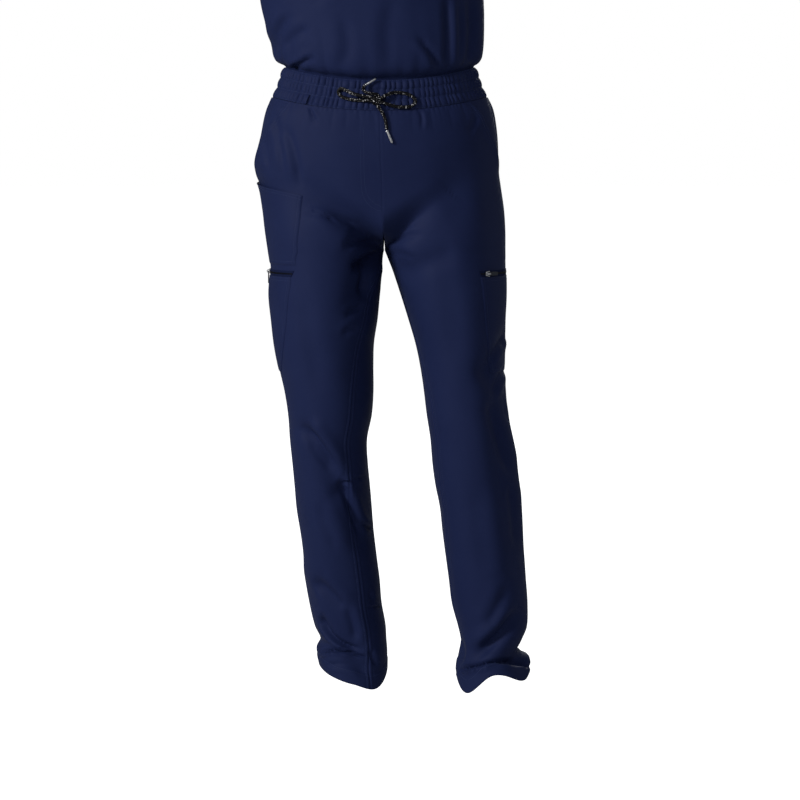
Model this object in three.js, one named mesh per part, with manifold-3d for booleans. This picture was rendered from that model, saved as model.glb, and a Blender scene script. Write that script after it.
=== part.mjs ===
// Medical scrubs as worn: tapered drawstring trousers and a scrub top tucked into them.
// Millimetres, +Z up, the wearer faces -Y and +X is the viewer's right.
// The origin is the centre of the worn waist, level with the waistband's top edge.
import * as THREE from "three";
import { mergeVertices } from "three/addons/utils/BufferGeometryUtils.js";
import Module from "manifold-3d";

const CLOTH = 1.2; // thickness of one cloth wall
const SEAM = 0.3; // gap between two pieces at a seam
const BAND_HEIGHT = 46; // waistband, top to bottom
const BAND_WALL = 3; // cloth folded round the elastic
const GATHERS = 110; // gathers round the waistband
const GATHER_COLUMNS = 2; // columns of points for each gather
const GATHER_RISE = 1.8; // how far a gather stands out
const CROTCH_Z = -272; // the lowest point of the rise
const FORK_Z = -205; // above this the centre seam is upright
const ROUNDING_Z = -90; // from here down the sections part into two round legs
const HEM_Z = -940; // mean height of the trouser hems
const HEM_BLEND_Z = -862; // the hem's slant begins here
const LIFT = { side: 12, front: -10, back: 14 }; // the worn waistband's tilt
const LIFT_END_Z = -170; // below this the rows are level
const ARM_Z = 285; // height of the armholes' lowest point
const SHOULDER_Y = 2; // the shoulder seams lie in this plane
const TOP_HEM_Z = -64; // the top's hem, tucked inside the trousers
const SLEEVE_HEM_Z = 198;
const NECKBAND = 18; // width of the V neckband
const CORD_RADIUS = 2.5; // drawstring
const SQUARENESS = 2.2; // of the body's oval sections; 2 is an ellipse
const LEG_SQUARENESS = 2.1;

const radians = THREE.MathUtils.degToRad;
const { lerp, clamp, smoothstep } = THREE.MathUtils;

// Rows of numbers under named columns.
function table(names, rows) {
  const keys = names.split(" ");
  return rows.map((row) => Object.fromEntries(keys.map((key, i) => [key, row[i]])));
}

// Reads a table smoothly at a value of its first column.
function read(rows, at) {
  const key = Object.keys(rows[0])[0];
  const up = rows[rows.length - 1][key] > rows[0][key];
  let i = rows.findIndex((row) => (up ? row[key] > at : row[key] < at)) - 1;
  if (i === -2) i = rows.length - 2;
  i = clamp(i, 0, rows.length - 2);
  const [a, b] = [rows[i], rows[i + 1]];
  const [before, after] = [rows[i - 1] ?? a, rows[i + 2] ?? b];
  const f = clamp((at - a[key]) / (b[key] - a[key]), 0, 1);
  const out = {};
  for (const name of Object.keys(a)) {
    const slope = (p, q) => ((q[name] - p[name]) / (q[key] - p[key])) * (b[key] - a[key]);
    const [m0, m1] = [slope(before, b), slope(a, after)];
    const f2 = f * f;
    const f3 = f2 * f;
    out[name] = (2 * f3 - 3 * f2 + 1) * a[name] + (f3 - 2 * f2 + f) * m0
      + (3 * f2 - 2 * f3) * b[name] + (f3 - f2) * m1;
  }
  return out;
}

// Sections of the waistband and of the trousers above the fork.
const BAND = table("z left right front back", [
  [0, -149, 149, -103, 97],
  [-20, -155, 155, -106, 101],
  [-34, -160, 160, -108, 104],
  [-46, -167, 167, -110, 108],
]);
const PELVIS = table("z left right front back centre", [
  [-46, -168, 168, -110, 108, 0],
  [-66, -177, 177, -113, 114, 1],
  [-101, -186, 183, -115, 128, 2],
  [-135, -196, 186, -114, 139, 3],
  [-153, -194, 187, -113, 144, 4],
  [-171, -187, 190, -112, 146, 4.5],
  [-207, -182, 195.5, -110, 146, 5],
  [-240, -179, 197.5, -109, 140, 6],
  [-272, -175, 197.5, -108, 130, 7],
]);

// Sections of the legs. turn is how far the inseam lies forward of the leg's inner side.
const LEGS = {
  left: table("z outer inner front back turn", [
    [-272, -175, 6.8, -108, 130, 0],
    [-302, -171, 3, -108, 116, 14],
    [-340, -171, 0, -107, 106, 30],
    [-378, -167.5, -3, -105, 98, 40],
    [-416, -164, -8.5, -102, 90, 47],
    [-453, -158, -9.5, -99, 84, 52],
    [-491, -150, -9.5, -96, 78, 57],
    [-529, -145, -12.6, -94, 71, 59],
    [-567, -142, -20, -90, 66, 60],
    [-605, -137.5, -19, -84, 66, 60],
    [-643, -134, -16, -79, 70, 61],
    [-681, -131, -12.6, -74, 75, 61],
    [-719, -126, -9.5, -69, 79, 61],
    [-757, -121.7, -5, -64, 81, 61],
    [-795, -118.5, 0, -59, 81, 61],
    [-833, -112, 2.5, -56, 79, 61],
    [-868, -104, 8, -54, 76, 61],
    [-892, -95, 9.5, -53, 74, 61],
    [-911, -101, 11, -56, 74, 61],
    [-940, -96, 11, -60, 72, 61],
  ]),
  right: table("z outer inner front back turn", [
    [-272, 197.5, 7.2, -108, 130, 0],
    [-302, 197.5, 19, -108, 116, 11],
    [-340, 196, 32, -107, 106, 13],
    [-378, 194, 44, -105, 98, 15],
    [-416, 194, 55, -102, 90, 18],
    [-453, 194, 63, -100, 83, 23],
    [-491, 197.5, 69.5, -98, 77, 29],
    [-529, 201, 74, -95, 70, 33],
    [-567, 208.5, 79, -91, 66, 34],
    [-605, 215, 82, -86, 66, 33],
    [-643, 221, 87, -81, 69, 30],
    [-681, 224, 95, -77, 73, 27],
    [-719, 226, 99.5, -73, 77, 24],
    [-757, 229, 104, -69, 79, 21],
    [-795, 231, 109, -66, 79, 17],
    [-833, 234, 114, -63, 77, 13],
    [-868, 234, 123, -61, 74, 10],
    [-890, 226, 127, -60, 72, 9],
    [-911, 217, 124, -62, 71, 8],
    [-926, 235, 121, -66, 71, 8],
    [-940, 239, 120, -69, 71, 8],
  ]),
};

// Heights of the hems' edges round each leg: 0 is the outer side and -90 the front.
const HEMS = {
  left: table("angle z", [
    [-180, -936],
    [-131, -960],
    [-90, -950],
    [-45, -938],
    [0, -929],
    [45, -935],
    [90, -944],
    [180, -936],
  ]),
  right: table("angle z", [
    [-180, -938],
    [-135, -966],
    [-90, -934],
    [-35, -947],
    [0, -929],
    [45, -940],
    [90, -948],
    [180, -938],
  ]),
};

// The slash pockets' edges, as the share of the way round from front seam to back seam.
const SLASH = table("z share", [
  [-46, 0.305],
  [-60, 0.322],
  [-84, 0.352],
  [-108, 0.395],
  [-134, 0.445],
  [-158, 0.5],
]);
const SLASH_END_Z = -158;

// The largest folds: soft troughs from one point of the front or back view to another.
const FOLDS = table("face x0 z0 x1 z1 width depth", [
  [-1, -118, -548, -63, -640, 17, 6],
  [-1, -60, -645, -28, -727, 16, 5],
  [-1, -95, -795, -38, -890, 16, 4.5],
  [-1, -92, -858, -28, -912, 12, 5],
  [-1, -14, -268, -34, -352, 20, 7],
  [-1, 190, -405, 165, -452, 15, 5],
  [-1, 166, -460, 194, -520, 15, 5],
  [-1, 176, -520, 214, -766, 17, 5],
  [-1, 220, -850, 158, -900, 14, 5],
  [-1, 50, -300, 100, -275, 16, 4],
  [1, -130, -560, -45, -600, 18, 6],
  [1, -120, -640, -30, -615, 16, 4],
  [1, 100, -590, 190, -560, 18, 6],
  [1, 105, -620, 205, -650, 16, 4],
  [1, -130, -300, -25, -330, 22, 6],
  [1, 40, -330, 150, -300, 22, 6],
  [1, -100, -800, -20, -850, 15, 5],
  [1, 130, -850, 215, -800, 15, 5],
]);

// Sections of the top, below the armholes. Its lowest rows are inside the waistband.
const TOP = table("z left right front back", [
  [-64, -145.2, 145.2, -99.2, 93.2],
  [-30, -145.4, 145.4, -99.4, 93.4],
  [0, -145.4, 145.4, -99.4, 93.4],
  [3, -147.5, 147, -101, 95],
  [8, -157, 152, -108, 101],
  [16, -164, 157, -114, 106],
  [32, -167, 160, -118, 108],
  [56, -171, 161, -119, 106],
  [118, -185, 161, -118, 104],
  [200, -188, 167, -121, 110],
  [250, -192, 172, -124, 116],
  [285, -197, 175, -124, 118],
]);
const TOP_CENTRE = -11; // the top's middle at the shoulders

// Upper edges of the top's front and back, half of each: side, armhole, shoulder, neck.
const ARMHOLE_AND_SHOULDER = [
  [0, 186, 285],
  [0.05, 181, 300],
  [0.1, 175, 322],
  [0.15, 171, 350],
  [0.19, 171, 382],
  [0.225, 173, 399],
  [0.25, 175.5, 408],
  [0.27, 179, 416],
  [0.31, 140, 432],
  [0.35, 101, 447],
];
const FRONT_EDGE = table("u x z", [
  ...ARMHOLE_AND_SHOULDER,
  [0.362, 97, 436],
  [0.38, 91, 421],
  [0.405, 81, 400],
  [0.45, 47, 352],
  [0.5, 0, 296],
]);
const BACK_EDGE = table("u x z", [
  ...ARMHOLE_AND_SHOULDER,
  [0.362, 96, 444],
  [0.38, 88, 441],
  [0.405, 74, 437],
  [0.45, 36, 432],
  [0.5, 0, 430],
]);
const SHOULDER_COLUMN = 7;
const NECK_COLUMN = 9;
const TIP = ARMHOLE_AND_SHOULDER[SHOULDER_COLUMN];
const NECK = ARMHOLE_AND_SHOULDER[NECK_COLUMN];

// A point of a flattened oval; power 2 is an ellipse and more is squarer.
function oval(angle, power) {
  const bend = (v) => Math.sign(v) * Math.abs(v) ** (2 / power);
  return [bend(Math.cos(angle)), bend(Math.sin(angle))];
}

function lift(angle) {
  const [c, s] = [Math.cos(angle), Math.sin(angle)];
  return LIFT.side * c * c + (s < 0 ? LIFT.front : LIFT.back) * s * s;
}

// How far the folds press the cloth in at a place of the front or back view.
function foldDepth(face, x, z) {
  let depth = 0;
  for (const f of FOLDS) {
    if (f.face !== face) continue;
    const [dx, dz] = [f.x1 - f.x0, f.z1 - f.z0];
    const along = clamp(((x - f.x0) * dx + (z - f.z0) * dz) / (dx * dx + dz * dz), 0, 1);
    const away = Math.hypot(x - f.x0 - along * dx, z - f.z0 - along * dz);
    depth += f.depth * Math.exp(-((away / f.width) ** 2));
  }
  return depth;
}

// The trousers' outer surface. share runs from 0 at the front seam or inseam, by 0.5 at
// the side seam, to 1 at the back seam or inseam. side is -1 at the viewer's left.
function trouser(side, share, z) {
  const name = side < 0 ? "left" : "right";
  const body = read(PELVIS, Math.max(z, CROTCH_Z));
  // The legs' seats round out gradually; by the centre seam the cloth turns under late.
  const fromSeam = Math.sin(Math.PI * clamp(share, 0, 1));
  const start = lerp(FORK_Z, ROUNDING_Z, fromSeam);
  const t = clamp((start - z) / (start - CROTCH_Z), 0, 1);
  const fork = lerp(t ** 3, smoothstep(t, 0, 1), 1 - (1 - fromSeam) ** 3);
  const leg = z < CROTCH_Z ? read(LEGS[name], z) : {
    outer: body[name],
    inner: body.centre + side * 0.2,
    front: body.front,
    back: body.back,
    turn: 0,
  };
  const hipAngle = radians(-90 + 180 * share);
  const legAngle = radians(-180 + 360 * share + leg.turn);
  const [hipX, hipY] = oval(hipAngle, SQUARENESS);
  const [legX, legY] = oval(legAngle, LEG_SQUARENESS);
  const middle = (section) => (section.front + section.back) / 2;
  const half = (section) => (section.back - section.front) / 2;
  const hip = new THREE.Vector3(
    body.centre + hipX * (body[name] - body.centre),
    middle(body) + hipY * half(body),
    z,
  );
  const tube = new THREE.Vector3(
    (leg.outer + leg.inner) / 2 + (legX * (leg.outer - leg.inner)) / 2,
    middle(leg) + legY * half(leg),
    z,
  );
  const point = hip.lerp(tube, fork);
  const inward = new THREE.Vector2((leg.outer + leg.inner) / 2 - point.x, middle(leg) - point.y)
    .normalize();
  const depth = foldDepth(point.y < 0 ? -1 : 1, point.x, z)
    * smoothstep(Math.abs(inward.y), 0.1, 0.45);
  point.x += inward.x * depth;
  point.y += inward.y * depth;
  point.z += lift(hipAngle) * smoothstep(z, LIFT_END_Z, -BAND_HEIGHT);
  const degrees = THREE.MathUtils.euclideanModulo(THREE.MathUtils.radToDeg(legAngle) + 180, 360);
  point.z += (read(HEMS[name], degrees - 180).z - HEM_Z) * (1 - smoothstep(z, HEM_Z, HEM_BLEND_Z));
  return point;
}

// The waistband's outer surface; angle is 0 at the viewer's right and -90 at the front.
function band(angle, z, rise) {
  const section = read(BAND, z);
  const [c, s] = oval(angle, SQUARENESS);
  const point = new THREE.Vector3(
    (c < 0 ? -section.left : section.right) * c,
    (section.front + section.back) / 2 + (s * (section.back - section.front)) / 2,
    z + lift(angle),
  );
  point.x += Math.cos(angle) * rise;
  point.y += Math.sin(angle) * rise;
  return point;
}

// The top's outer surface below the armholes. u runs from the viewer's left side to the right.
function torso(face, u, z) {
  const section = read(TOP, z);
  const turn = radians(180 * (u - 0.5));
  const [c, s] = oval(turn, SQUARENESS);
  const point = new THREE.Vector3(
    (section.left + section.right) / 2 + (s * (section.right - section.left)) / 2,
    (section.front + section.back) / 2 + (face * c * (section.back - section.front)) / 2,
    z,
  );
  const angle = Math.atan2(face * Math.cos(turn), Math.sin(turn));
  point.z += lift(angle) * (1 - smoothstep(z, 16, 90));
  return point;
}

// The same surface above the armholes, where a column climbs to the panel's upper edge.
function yoke(face, u, climb) {
  const edge = read(face < 0 ? FRONT_EDGE : BACK_EDGE, 0.5 - Math.abs(u - 0.5));
  const side = u < 0.5 ? -1 : 1;
  const start = torso(face, u, ARM_Z);
  const [, tipX, tipZ] = TIP;
  const [, neckX, neckZ] = NECK;
  const reach = lerp(neckZ, tipZ, clamp((edge.x - neckX) / (tipX - neckX), 0, 1));
  const crown = Math.max(reach, edge.z) - ARM_Z;
  const most = Math.asin(clamp((edge.z - ARM_Z) / crown, 0, 1));
  const angle = most * climb;
  const rest = Math.cos(angle);
  const share = most > 1e-6 ? Math.sin(angle) / Math.sin(most) : climb;
  return new THREE.Vector3(
    lerp(start.x, TOP_CENTRE + side * edge.x, Math.abs(share) ** 1.3),
    SHOULDER_Y + (start.y - SHOULDER_Y) * rest,
    ARM_Z + (edge.z - ARM_Z) * share,
  );
}

// The outward normal of a surface at two parameters. inside is a point that it faces away from.
function normalOf(surface, a, b, inside) {
  const step = 2e-4;
  const across = surface(a + step, b).sub(surface(a - step, b));
  const along = surface(a, b + step).sub(surface(a, b - step));
  const normal = across.cross(along).normalize();
  const out = surface(a, b).sub(inside(a, b));
  return normal.dot(out) < 0 ? normal.negate() : normal;
}

// One closed wall from a grid of outer and inner points; a ring joins its last column to its first,
// and may have fewer rows inside than outside.
function wall(outer, inner, ring = false) {
  const columns = outer[0].length;
  const spans = columns - (ring ? 0 : 1);
  const positions = [...outer.flat(), ...inner.flat()].flatMap((p) => p.toArray());
  const index = [];
  const quad = (a, b, c, d) => index.push(a, b, c, a, c, d);
  const out = (i, j) => i * columns + (j % columns);
  const set = (i, j) => (outer.length + i) * columns + (j % columns);
  const [lastOut, lastIn] = [outer.length - 1, inner.length - 1];
  for (let j = 0; j < spans; j++) {
    for (let i = 0; i < lastOut; i++) quad(out(i, j), out(i, j + 1), out(i + 1, j + 1), out(i + 1, j));
    for (let i = 0; i < lastIn; i++) quad(set(i, j), set(i + 1, j), set(i + 1, j + 1), set(i, j + 1));
    quad(out(0, j + 1), out(0, j), set(0, j), set(0, j + 1));
    quad(out(lastOut, j), out(lastOut, j + 1), set(lastIn, j + 1), set(lastIn, j));
  }
  for (let i = 0; i < lastOut && !ring; i++) {
    quad(out(i, 0), out(i + 1, 0), set(i + 1, 0), set(i, 0));
    quad(out(i + 1, spans), out(i, spans), set(i, spans), set(i + 1, spans));
  }
  return facingOut(positions, index);
}

// A geometry whose faces are turned round if they point inwards.
function facingOut(positions, index) {
  const point = (i) => new THREE.Vector3().fromArray(positions, 3 * i);
  let volume = 0;
  for (let i = 0; i < index.length; i += 3) {
    volume += point(index[i]).dot(point(index[i + 1]).cross(point(index[i + 2])));
  }
  const turned = volume < 0 ? index.slice().reverse() : index;
  const geometry = new THREE.BufferGeometry();
  geometry.setAttribute("position", new THREE.Float32BufferAttribute(positions, 3));
  geometry.setIndex(turned);
  geometry.computeVertexNormals();
  return geometry;
}

// A wall on a surface: its outer face stands off the surface by stand, its inner by less.
function clothOn(surface, inside, rows, columns, stand, thickness, ring = false) {
  const outer = [];
  const inner = [];
  for (const b of rows) {
    const cells = columns(b).map((a) => {
      const point = surface(a, b);
      const normal = normalOf(surface, a, b, inside);
      return [
        point.clone().addScaledVector(normal, stand),
        point.clone().addScaledVector(normal, stand - thickness),
      ];
    });
    outer.push(cells.map((cell) => cell[0]));
    inner.push(cells.map((cell) => cell[1]));
  }
  return wall(outer, inner, ring);
}

function spread(from, to, count) {
  return Array.from({ length: count + 1 }, (_, i) => lerp(from, to, i / count));
}

// Materials
const cloth = new THREE.MeshStandardMaterial({ color: 0x1c2540, roughness: 0.78 });
const cord = new THREE.MeshStandardMaterial({ color: 0x0c0c0e, roughness: 0.85 });
const metal = new THREE.MeshStandardMaterial({ color: 0xb9bcc2, roughness: 0.3, metalness: 1 });
const zipper = new THREE.MeshStandardMaterial({ color: 0x0b0e18, roughness: 0.6 });

const scrubs = new THREE.Group();
function add(name, geometry, material) {
  const mesh = new THREE.Mesh(geometry, material);
  mesh.name = name;
  scrubs.add(mesh);
}

// Trouser panels
const EDGE_SHARE = 0.0004; // half of a seam's gap, as a share of the way round
const ZIP_Z = -305;
const ZIP_TAPE = 9;
const PANEL_ROWS = [
  -BAND_HEIGHT - SEAM, -60, -84, -108, -134, SLASH_END_Z, -172, -190, FORK_Z,
  -222, -240, -254, -265, CROTCH_Z, -286, ZIP_Z + ZIP_TAPE / 2, ZIP_Z - ZIP_TAPE / 2,
  ...spread(-332, HEM_BLEND_Z, 16), ...spread(-880, HEM_Z, 4),
];
const HIP_AXIS_X = 60; // the panels above the crotch face away from here
const PANEL_COLUMNS = 10; // from the front seam to the side seam, and as many behind
// The slash is straight from one of the panel's rows to the next.
function slashShare(z) {
  const i = SLASH.findIndex((row) => row.z <= z);
  if (i < 1) return i === 0 ? SLASH[0].share : 0.5;
  const [above, under] = [SLASH[i - 1], SLASH[i]];
  return lerp(above.share, under.share, (above.z - z) / (above.z - under.z));
}
const axisOf = (side) => (share, z) => {
  const name = side < 0 ? "left" : "right";
  if (z > CROTCH_Z) return new THREE.Vector3(side * HIP_AXIS_X, 0, z);
  const leg = read(LEGS[name], z);
  return new THREE.Vector3((leg.outer + leg.inner) / 2, (leg.front + leg.back) / 2, z);
};
for (const [name, side] of [["left", -1], ["right", 1]]) {
  const surface = (share, z) => trouser(side, share, z);
  const panel = (rows, from, to, columns) => clothOn(
    surface, axisOf(side), rows, (z) => spread(from(z), to(z), columns), 0, CLOTH,
  );
  add(`front_${name}`, panel(PANEL_ROWS, () => EDGE_SHARE, (z) => slashShare(z) - EDGE_SHARE,
    PANEL_COLUMNS), cloth);
  add(`back_${name}`, panel(PANEL_ROWS, () => 0.5 + EDGE_SHARE, () => 1 - EDGE_SHARE,
    PANEL_COLUMNS), cloth);
  const facingRows = PANEL_ROWS.filter((z) => z > SLASH_END_Z).concat(SLASH_END_Z + 2);
  add(`hip_facing_${name}`, panel(facingRows, (z) => slashShare(z) + 2.2 * EDGE_SHARE,
    () => 0.5 - EDGE_SHARE, 3), cloth);
}

// Waistband: three puffed channels between rows of stitching, gathered all round
const BAND_ROWS = table("z relief", [
  [-46, 0.35],
  [-38, 1],
  [-29, 0.4],
  [-15, 1],
  [0, 0.45],
]);
const bandAngles = spread(0, 2 * Math.PI, GATHERS * GATHER_COLUMNS).slice(0, -1);
const gather = (column) => GATHER_RISE * 0.5 * Math.cos((2 * Math.PI * column) / GATHER_COLUMNS);
const bandOuter = BAND_ROWS.map((row) => bandAngles.map(
  (angle, column) => band(angle, row.z, gather(column) * row.relief),
));
const bandInner = [-BAND_HEIGHT, 0].map((z) => bandAngles.map((angle) => band(angle, z, -BAND_WALL)));
add("waistband", wall(bandOuter, bandInner, true), cloth);

// What lies on the trousers is made from their panels' points, moved out by a layer
const LAYER = CLOTH + SEAM;
function panelPoint(side, column, z, stand) {
  const share = column / (2 * PANEL_COLUMNS);
  const surface = (a, b) => trouser(side, a, b);
  const moved = (row) => surface(share, row)
    .addScaledVector(normalOf(surface, share, row, axisOf(side)), stand);
  const below = PANEL_ROWS.findIndex((row) => row <= z);
  const [high, low] = [PANEL_ROWS[below - 1], PANEL_ROWS[below]];
  return moved(high).lerp(moved(low), (high - z) / (high - low));
}
function patch(name, side, from, to, rowsAt, thickness, material, gap = SEAM, shift = () => 0) {
  const columns = spread(from, to, to - from);
  const grid = (stand) => rowsAt(from).map((_, i) => columns.map((column) => {
    const z = rowsAt(column)[i];
    return panelPoint(side, column + shift(column, z), z, stand);
  }));
  add(name, wall(grid(gap + thickness), grid(gap)), material);
}
const rowsBetween = (top, bottom) => [
  top, ...PANEL_ROWS.filter((z) => z < top - 4 && z > bottom + 4), bottom,
];

// Open patch pocket on the viewer's left hip; its mouth slopes down to the front. The panel's
// columns turn forward on the leg, so over the first millimetres down the pocket's upright front
// edge moves back by a share of them.
const HIP_POCKET = { from: 5, to: 12, front: -186, side: -163, bottom: -292, gap: 1.6 };
const UPRIGHT = { columns: 1.1, over: 68 };
patch("hip_pocket", -1, HIP_POCKET.from, HIP_POCKET.to, (column) => {
  const { from, to, front, side, bottom } = HIP_POCKET;
  const mouth = lerp(front, side, Math.sin((Math.PI / 2) * ((column - from) / (to - from))));
  return [mouth, ...rowsBetween(-190, bottom)];
}, CLOTH, cloth, HIP_POCKET.gap, (column, z) => {
  const { from, to, front } = HIP_POCKET;
  const moved = UPRIGHT.columns * smoothstep(front - z, 0, UPRIGHT.over);
  return moved * ((to - column) / (to - from));
});

// Cargo pockets with a zip along the top, on both outer thighs
const CARGO_DEPTH = 150;
const ZIP_WALL = 1.4;
const ZIP_COLUMNS = { from: 6, to: 11 };
const ZIPS = {
  left: { side: -1, slider: 9 },
  right: { side: 1, slider: 6 },
};
for (const [name, zip] of Object.entries(ZIPS)) {
  const { from, to } = ZIP_COLUMNS;
  const [top, bottom] = [ZIP_Z + ZIP_TAPE / 2, ZIP_Z - ZIP_TAPE / 2];
  patch(`zip_${name}`, zip.side, from, to, () => [top, bottom], ZIP_WALL, zipper);
  patch(`cargo_pocket_${name}`, zip.side, from, to,
    () => rowsBetween(bottom - SEAM, bottom - CARGO_DEPTH), CLOTH, cloth);
}

// The zips' sliders and pull tabs. The tab's end bar turns under the slider's arch.
const SLIDER = { length: 10, width: 8, thick: 2 };
const ARCH = { inner: 1.7, outer: 2.9, width: 2, rise: 1.3 };
const TAB = { length: 19, width: 5.6, thick: 1.2, bar: 0.6, slot: 3.6, slotWidth: 3 };
const wasm = await Module();
wasm.setup();
function solid(geometry) {
  const bare = new THREE.BufferGeometry();
  const loose = geometry.index ? geometry.toNonIndexed() : geometry;
  bare.setAttribute("position", loose.getAttribute("position"));
  const merged = mergeVertices(bare, 1e-4);
  return new wasm.Manifold(new wasm.Mesh({
    numProp: 3,
    vertProperties: merged.getAttribute("position").array,
    triVerts: new Uint32Array(merged.index.array),
  }));
}
function join(first, second) {
  const mesh = solid(first).add(solid(second)).getMesh();
  const geometry = new THREE.BufferGeometry();
  geometry.setAttribute("position", new THREE.BufferAttribute(mesh.vertProperties, 3));
  geometry.setIndex(new THREE.BufferAttribute(mesh.triVerts, 1));
  geometry.computeVertexNormals();
  return geometry;
}

// The arch stands on the plate's middle in the local frame: x along its span and z outwards.
function archGeometry() {
  const { inner, outer, width, rise } = ARCH;
  const outline = new THREE.Shape();
  outline.moveTo(-outer, -0.5);
  outline.lineTo(-outer, rise);
  outline.absarc(0, rise, outer, Math.PI, 0, true);
  outline.lineTo(outer, -0.5);
  outline.lineTo(inner, -0.5);
  outline.lineTo(inner, rise);
  outline.absarc(0, rise, inner, 0, Math.PI, false);
  outline.lineTo(-inner, -0.5);
  outline.closePath();
  return new THREE.ExtrudeGeometry(outline, { depth: width, bevelEnabled: false, curveSegments: 8 })
    .translate(0, 0, -width / 2).rotateX(Math.PI / 2);
}
function plateGeometry() {
  const { length, width, thick } = SLIDER;
  const plate = new THREE.Shape();
  const [l, w, nose] = [length / 2, width / 2, 2.4];
  plate.moveTo(-l, -w + 1);
  plate.lineTo(l - nose, -w);
  plate.lineTo(l, -w + nose);
  plate.lineTo(l, w - nose);
  plate.lineTo(l - nose, w);
  plate.lineTo(-l, w - 1);
  plate.closePath();
  return new THREE.ExtrudeGeometry(plate, { depth: thick, bevelEnabled: false }).translate(0, 0, -thick);
}
// The tab lies along +x from its end bar, which is at the origin and runs along y.
function tabGeometry() {
  const { length, width, thick, bar, slot, slotWidth } = TAB;
  const tab = new THREE.Shape();
  const [w, corner] = [width / 2, 1.6];
  tab.moveTo(-bar, -w);
  tab.lineTo(length - corner, -w);
  tab.quadraticCurveTo(length, -w, length, -w + corner);
  tab.lineTo(length, w - corner);
  tab.quadraticCurveTo(length, w, length - corner, w);
  tab.lineTo(-bar, w);
  tab.closePath();
  const gap = new THREE.Path();
  gap.moveTo(bar, -slotWidth / 2);
  gap.lineTo(bar, slotWidth / 2);
  gap.lineTo(slot, slotWidth / 2);
  gap.lineTo(slot, -slotWidth / 2);
  gap.closePath();
  tab.holes.push(gap);
  return new THREE.ExtrudeGeometry(tab, { depth: thick, bevelEnabled: false, curveSegments: 4 })
    .translate(0, 0, -thick / 2);
}
for (const [name, zip] of Object.entries(ZIPS)) {
  // The slider sits on the middle of one flat of the zip.
  const stand = SEAM + ZIP_WALL;
  const ends = [zip.slider, zip.slider + 1].map((column) => [
    panelPoint(zip.side, column, ZIP_Z - ZIP_TAPE / 2, stand),
    panelPoint(zip.side, column, ZIP_Z + ZIP_TAPE / 2, stand),
  ]);
  const [before, after] = ends.map(([low, high]) => low.clone().lerp(high, 0.5));
  const backwards = after.clone().sub(before).setZ(0).normalize();
  const out = new THREE.Vector3(backwards.y, -backwards.x, 0).multiplyScalar(-zip.side);
  if (out.x * zip.side < 0) out.negate();
  const clear = Math.max(...ends.flat().map((p) => p.clone().sub(before).dot(out)));
  const seat = before.clone().lerp(after, 0.5)
    .addScaledVector(out, clear + SEAM + SLIDER.thick);
  const frame = (along) => new THREE.Matrix4()
    .makeBasis(along, out.clone().cross(along), out).setPosition(seat);
  // The tab hangs from the left slider and lies along the zip on the right one.
  const hangs = name === "left";
  const arch = archGeometry();
  if (hangs) arch.rotateZ(Math.PI / 2);
  add(`slider_${name}`, join(plateGeometry(), arch).applyMatrix4(frame(backwards)), metal);
  const along = hangs ? new THREE.Vector3(0, 0, -1) : backwards;
  add(`pull_${name}`, tabGeometry().translate(0, 0, ARCH.rise).applyMatrix4(frame(along)), zipper);
}

// Top: front and back
const SIDE_SHARE = 0.0006;
const TOP_ROWS = [TOP_HEM_Z, 0, 4, 12, 28, ...spread(60, ARM_Z - 35, 2)];
const YOKE_ROWS = [0, 0.22, 0.44, 0.64, 0.8, 0.92, 1];
const CHEST_Z = 330; // the panels above the armholes face away from this height
const mirrored = (edge) => [
  ...edge.map((row) => row.u), ...edge.slice(0, -1).reverse().map((row) => 1 - row.u),
];
// One continuous height: below 0 it is millimetres under the armholes, above 0 the climb.
const panelOf = (face) => (u, height) => (
  height < 0 ? torso(face, u, ARM_Z + height) : yoke(face, u, height)
);
function shirtPoints(face, u, height) {
  const surface = panelOf(face);
  const inside = (a, b) => new THREE.Vector3(TOP_CENTRE, 0, Math.min(ARM_Z + Math.min(b, 0), CHEST_Z));
  const point = surface(u, height);
  const normal = normalOf(surface, u, height === 0 ? -0.001 : height, inside);
  return { point, normal };
}
for (const [name, face, edge] of [["front", -1, FRONT_EDGE], ["back", 1, BACK_EDGE]]) {
  const heights = [...TOP_ROWS.map((z) => z - ARM_Z), ...YOKE_ROWS];
  const outer = [];
  const inner = [];
  for (const height of heights) {
    const columns = face < 0 ? mirrored(edge) : mirrored(edge).reverse();
    const cells = columns.map((u) => {
      const cell = shirtPoints(face, clamp(u, SIDE_SHARE, 1 - SIDE_SHARE), height);
      // The two panels keep a seam's gap at the shoulders' plane.
      const clear = (p) => {
        if (face < 0) p.y = Math.min(p.y, SHOULDER_Y - SEAM / 2);
        else p.y = Math.max(p.y, SHOULDER_Y + SEAM / 2);
        return p;
      };
      const climbing = height > 0.5;
      const set = cell.point.clone().addScaledVector(cell.normal, -CLOTH);
      return climbing ? [clear(cell.point), clear(set)] : [cell.point, set];
    });
    outer.push(cells.map((cell) => cell[0]));
    inner.push(cells.map((cell) => cell[1]));
  }
  add(`top_${name}`, wall(outer, inner), cloth);
}

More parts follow.
